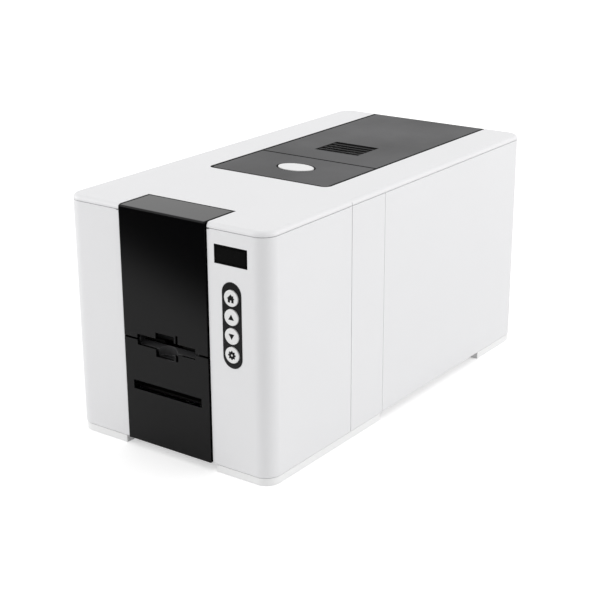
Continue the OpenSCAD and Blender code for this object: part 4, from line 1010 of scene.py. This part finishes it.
insert_paint_and_shade, tree, shader = new_material("insert_paint_and_shade", ior=1.38)
x, y, _ = place_of(tree)
soft = edge_shade_soft * MM
bare = Vector((edge_shade_w, edge_shade_w, 0)) * MM
low, high = front_low + bare, rear_high - bare
# Painted shade: a black band is left along the insert's rim.
inside = round_mask(
    tree, (insert_r - edge_shade_w) * MM, soft, (x, low.x, high.x), (y, low.y, high.y + insert_r * MM)
)
seam = box_mask(tree, soft, (y, front_high.y - seam_shade_w * MM, rear_low.y + seam_shade_w * MM))
vent = box_mask(tree, soft, *(
    (value, (middle - size / 2) * MM, (middle + size / 2) * MM)
    for value, middle, size in ((x, vent_x, vent_w), (y, vent_y, vent_d))
))
button_low, button_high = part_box("cover_button")
oval = []
for value, start, stop in ((x, button_low.x, button_high.x), (y, button_low.y, button_high.y)):
    half = (stop - start) / 2 - button_flange * MM
    oval.append(maths(tree, "DIVIDE", off_middle(tree, value, start, stop), half))
ring = maths(tree, "LESS_THAN", distance(tree, *oval), 1.0)
# Painted shade either side of the seam and round the button; the vent takes only part of the grey.
vent_dark = maths(tree, "MULTIPLY", vent, vent_dark_share)
shade_and_vent_dark = maths(tree, "MAXIMUM", maths(tree, "MAXIMUM", seam, vent_dark), ring)
# Painted shade: only upward faces take the grey, so eased edges and walls stay black.
upward = maths(tree, "GREATER_THAN", place_of(tree, "Normal")[2], level)
faces = maths(tree, "MULTIPLY", inside, upward)
painted = maths(tree, "MULTIPLY", faces, maths(tree, "SUBTRACT", 1.0, shade_and_vent_dark))
roughness = maths(tree, "MULTIPLY_ADD", painted, painted_roughness - dark_band_roughness, dark_band_roughness)
grey = layered(tree, (0.003, 0.003, 0.003), (painted, (0.045, 0.045, 0.047)))
skin(tree, shader, grey, roughness, depth=0.03, flow=2.2)
eased("cover_insert_front", insert_paint_and_shade, "insert_grey", ease=0.45)
eased("cover_insert_rear", insert_paint_and_shade, "insert_grey", ease=0.4)


# ---- Cover button and latch ----
# The oval button is white ABS like the keys and stands just proud of the insert. It pushes a black
# acetal latch that turns on a steel pin.

eased("cover_button", key_plastic, "key_white", ease=0.4, steps=3)
acetal = plastic("acetal", (0.018, 0.018, 0.019), 0.38, depth=0.01)
eased("cover_latch", acetal, "inner_black", ease=0.2)
turned_steel = metal("turned_steel", (0.60, 0.60, 0.61), 0.2, (2600, 60, 60))
paint(turned_steel, "latch_pin")


# ---- Fan ----
# A small axial fan under the slots of the cover: a black glass-filled frame with three struts, and a
# rotor whose blades and hub are one moulding.

fan_plastic = plastic("fan_moulding", (0.014, 0.014, 0.015), 0.4, depth=0.02, flow=0.2)
eased("fan_frame", fan_plastic, "fan_black", ease=0.2)
paint(fan_plastic, "fan_rotor")


# ---- Hinge pins, shafts and ties ----
# Ground steel rods. The grinding leaves fine rings round them.

paint(
    turned_steel,
    "cover_hinge_pins", "cross_ties", "pick_shaft", "feed_shaft", "platen_shaft", "exit_shaft",
    "motor_pulley",
)


# ---- Side plates and head bracket ----
# Two pressed plates of rolled steel carry the shafts, and a bent bracket of the same sheet carries the
# print head under the cover. The rolling leaves long lines in the sheet.

rolled_steel = metal("rolled_steel", (0.50, 0.51, 0.52), 0.36, (2400, 30, 2400))
for plate in ("side_plate_left", "side_plate_right", "head_bracket"):
    eased(plate, rolled_steel, "steel", ease=0.15)


# ---- Hopper, card weight, chute and diverter ----
# The card path inside is black ABS throughout, so nothing shows through the mouth. Its faces are
# spark eroded, which keeps the cards from sticking.

path_plastic = plastic("path_moulding", (0.003, 0.003, 0.003), 0.6, ior=1.2, depth=0.03)
weight_plastic = plastic("weight_moulding", (0.003, 0.003, 0.0032), 0.6, ior=1.3, depth=0.02)
for part in ("input_hopper", "output_chute", "diverter"):
    eased(part, path_plastic, "inner_black", ease=0.2)
eased("card_weight", weight_plastic, "inner_black", ease=0.4)


# ---- Rollers ----
# Rubber sleeves ground on their shafts: black nitrile where a card is driven, grey silicone on the two
# idlers and a tacky blue silicone on the cleaning roller. The wheel leaves rings on the rubber.

rings_per_metre = 320
ring_depth = 0.01
rollers = [
    # rubber, colour, roughness, slot, rollers
    ("nitrile", (0.016, 0.016, 0.016), 0.62, "rubber_black",
     ("pick_roller", "feed_roller", "platen_roller", "exit_roller")),
    ("grey_silicone", (0.16, 0.16, 0.165), 0.5, "pinch_grey", ("feed_pinch_roller", "exit_pinch_roller")),
    ("blue_silicone", (0.03, 0.16, 0.42), 0.22, "roller_blue", ("cleaning_roller",)),
]

for name, colour, roughness, slot, members in rollers:
    rubber, tree, shader = new_material(name, ior=1.5)
    skin(tree, shader, colour, roughness, depth=0)
    rings = new_node(tree, "ShaderNodeTexWave", {
        "Vector": new_node(tree, "ShaderNodeTexCoord").outputs["Object"],
        "Scale": rings_per_metre, "Distortion": 1.5, "Detail": 2,
    }, bands_direction="X")
    relief(tree, shader, rings.outputs["Fac"], ring_depth)
    for roller in members:
        eased(roller, rubber, slot, ease=0.3)


# ---- Drive belts ----
# Two closed belts of black neoprene with a ground back. Their teeth stand on the inside at an even
# pitch, where they mesh with the pulleys.

belt_w = 5.4
belt_back = 0.9
tooth_pitch = 2.0
tooth_long = 1.0
tooth_tall = 0.3
tooth_bite = 0.98
loop_r = 8.05
bend_steps = 24
row_z = 83.3
belts = [
    # X of the middle, then Y and Z of the two pulleys
    (-53.0, (-130.1, row_z), (23.9, row_z)),
    (-61.0, (-42.1, 34.8), (-4.1, row_z)),
]


def toothed():
    """Joins teeth to a belt's band: boxes at an even pitch along a path, each turned along it."""
    group, start = open_group("toothed", "Geometry", [
        ("Band", "Geometry"),
        ("Path", "Object"),
        ("Teeth", "Int", 60),
        ("Tooth", "Vector", (belt_w * MM, tooth_long * MM, tooth_tall * MM)),
        ("Inward", "Vector"),
        ("Material", "Material"),
    ], [("Geometry", "Geometry")])
    path = new_node(group, "GeometryNodeObjectInfo", {"Object": start["Path"]})
    line = new_node(group, "GeometryNodeMeshToCurve", {0: path.outputs["Geometry"]})
    inputs = {0: line.outputs[0], "Count": start["Teeth"]}
    points = new_node(group, "GeometryNodeCurveToPoints", inputs, mode="COUNT").outputs
    inputs = {"Vector": points["Tangent"]}
    turn = new_node(group, "FunctionNodeAlignRotationToVector", inputs, axis="Y", pivot_axis="X")
    copies = new_node(group, "GeometryNodeInstanceOnPoints", {
        "Points": points["Points"],
        "Instance": new_node(group, "GeometryNodeMeshCube", {"Size": start["Tooth"]}).outputs["Mesh"],
        "Rotation": turn.outputs[0],
    })
    inputs = {0: copies.outputs[0], "Translation": start["Inward"]}
    teeth = new_node(group, "GeometryNodeTranslateInstances", inputs)
    both = new_node(group, "GeometryNodeJoinGeometry", {0: start["Band"]})
    group.links.new(teeth.outputs[0], both.inputs[0])
    return end_copies(group, start, both.outputs[0])


def loop_points(first, second):
    """The closed loop round two equal pulleys: pairs of a point and its outward direction."""
    first, second = Vector(first), Vector(second)
    lean = math.atan2(second.y - first.y, second.x - first.x)
    loop = []
    for centre, begin in ((second, lean - math.pi / 2), (first, lean + math.pi / 2)):
        for step in range(bend_steps + 1):
            angle = begin + math.pi * step / bend_steps
            out = Vector((math.cos(angle), math.sin(angle)))
            loop.append((centre + out * loop_r, out))
    return loop


def band_mesh(x, loop):
    """The belt's smooth band, as a closed ring of box section."""
    shape = bmesh.new()
    rings = []
    for point, out in loop:
        ring = []
        for side, face in ((1, -1), (1, 1), (-1, 1), (-1, -1)):
            corner = x + side * belt_w / 2, *(point + out * (face * belt_back / 2))
            ring.append(shape.verts.new(Vector(corner) * MM))
        rings.append(ring)
    for here, there in zip(rings, rings[1:] + rings[:1]):
        for side in range(4):
            other = (side + 1) % 4
            shape.faces.new((here[side], here[other], there[other], there[side]))
    bmesh.ops.recalc_face_normals(shape, faces=shape.faces)
    return plain_mesh("band", shape)


def path_object(x, loop):
    """The loop as a closed line of edges, for the nodes to follow."""
    mesh = bpy.data.meshes.new("path")
    count = len(loop)
    points = [Vector((x, *point)) * MM for point, out in loop]
    mesh.from_pydata(points, [(step, (step + 1) % count) for step in range(count)], [])
    return new_object("path", mesh)


neoprene = plastic("neoprene", (0.014, 0.014, 0.014), 0.6, grain=900.0, depth=0.03)
teeth_group = toothed()
both_belts = bmesh.new()
for x, first, second in belts:
    loop = loop_points(first, second)
    length = sum((here[0] - there[0]).length for here, there in zip(loop, loop[1:] + loop[:1]))
    path = path_object(x, loop)
    both_belts.from_mesh(run_nodes(teeth_group, {
        "Path": path,
        "Teeth": round(length / tooth_pitch),
        "Inward": (0, 0, (belt_back + tooth_tall) / 2 * MM * tooth_bite),
        "Material": neoprene,
    }, new_object("band", band_mesh(x, loop))))
    bpy.data.objects.remove(path)
belt_mesh = dressed(plain_mesh("drive_belts", both_belts), neoprene)
settle("toothed_belts", belt_mesh, "case", "belt_rubber", "drive_belts")


# ---- Motor ----
# A square stepping motor: two cast aluminium end caps with the black edges of the steel laminations
# between them.

cap_depth = 9.0
motor_low, motor_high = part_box("drive_motor")
motor_face, tree, shader = new_material("motor_case", metal=1.0)
off = off_middle(tree, place_of(tree)[0], motor_low.x, motor_high.x)
stack = maths(tree, "LESS_THAN", off, (motor_high.x - motor_low.x) / 2 - cap_depth * MM)
coat(tree, shader, metal_group, 0.02, {
    "Lines": (2200, 25, 25),
    "Colour": layered(tree, (0.62, 0.62, 0.63), (stack, (0.035, 0.035, 0.036))),
    "Roughness": 0.34,
})
eased("drive_motor", motor_face, "motor_metal", ease=0.8)


# ---- Print head ----
# An extruded aluminium heat sink with milled fins, and under its front edge the dark glazed strip of
# the heating dots.

glaze_z = 0.6
head_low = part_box("print_head")[0]
head_metal, tree, shader = new_material("head_metal", metal=1.0)
glazed = maths(tree, "LESS_THAN", place_of(tree)[2], head_low.z + glaze_z * MM)
coat(tree, shader, metal_group, 0.004, {
    "Lines": (30, 2200, 2200),
    "Colour": layered(tree, (0.68, 0.68, 0.69), (glazed, (0.10, 0.085, 0.07))),
    "Roughness": 0.28,
})
tree.links.new(maths(tree, "SUBTRACT", 1.0, glazed), shader.inputs["Metallic"])
eased("print_head", head_metal, "aluminium", ease=0.12)


# ---- Ribbon cassette and spools ----
# A pale grey moulded frame with two film guides and a bar to lift it by. The spools are black plastic
# cores; the supply one still carries most of its film, whose edge shows the wound layers.

film_half = 31.0
layers_per_metre = 26000.0
layer_depth = 0.01
core_black = (0.02, 0.02, 0.022)
cassette = plastic("cassette_moulding", (0.44, 0.46, 0.50), 0.34, depth=0.01)
eased("ribbon_cassette", cassette, "cassette_plastic", ease=0.25)

# spool, film, its colour and roughness, slot
for spool, name, film, roughness, slot in (
    ("supply_spool", "supply_film", (0.045, 0.030, 0.012), 0.16, "spool_film"),
    ("takeup_spool", "takeup_film", (0.020, 0.012, 0.026), 0.2, "spool_dark"),
):
    low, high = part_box(spool)
    wound, tree, shader = new_material(name, ior=1.5)
    x, y, z = place_of(tree)
    core = maths(tree, "GREATER_THAN", maths(tree, "ABSOLUTE", x), (film_half + hair) * MM)
    radius = distance(tree, off_middle(tree, y, low.y, high.y), off_middle(tree, z, low.z, high.z))
    layers = maths(tree, "MULTIPLY", radius, layers_per_metre)
    skin(tree, shader, layered(tree, film, (core, core_black)), roughness, depth=0)
    relief(tree, shader, maths(tree, "SINE", layers), layer_depth)
    eased(spool, wound, slot, ease=0.3)


# ---- Ribbon film ----
# A glossy polyester film with dye panels of yellow, magenta and cyan one after another.

film_start = -31.5
panel_length = 22.0
yellow_end, magenta_end = 0.8, 1.8
film_dye, tree, shader = new_material("dye_film", ior=1.6)
y = place_of(tree)[1]
along = maths(tree, "DIVIDE", maths(tree, "SUBTRACT", y, film_start * MM), panel_length * MM)
dye = layered(
    tree, (0.62, 0.46, 0.02),
    (maths(tree, "GREATER_THAN", along, yellow_end), (0.42, 0.02, 0.16)),
    (maths(tree, "GREATER_THAN", along, magenta_end), (0.01, 0.16, 0.34)),
)
skin(tree, shader, dye, 0.12, grain=300.0, depth=0.01, flow=0.2)
paint(film_dye, "ribbon_film")


# ---- Sizes and finish ----

boxes = {"cad": cad_box, "scene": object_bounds()}
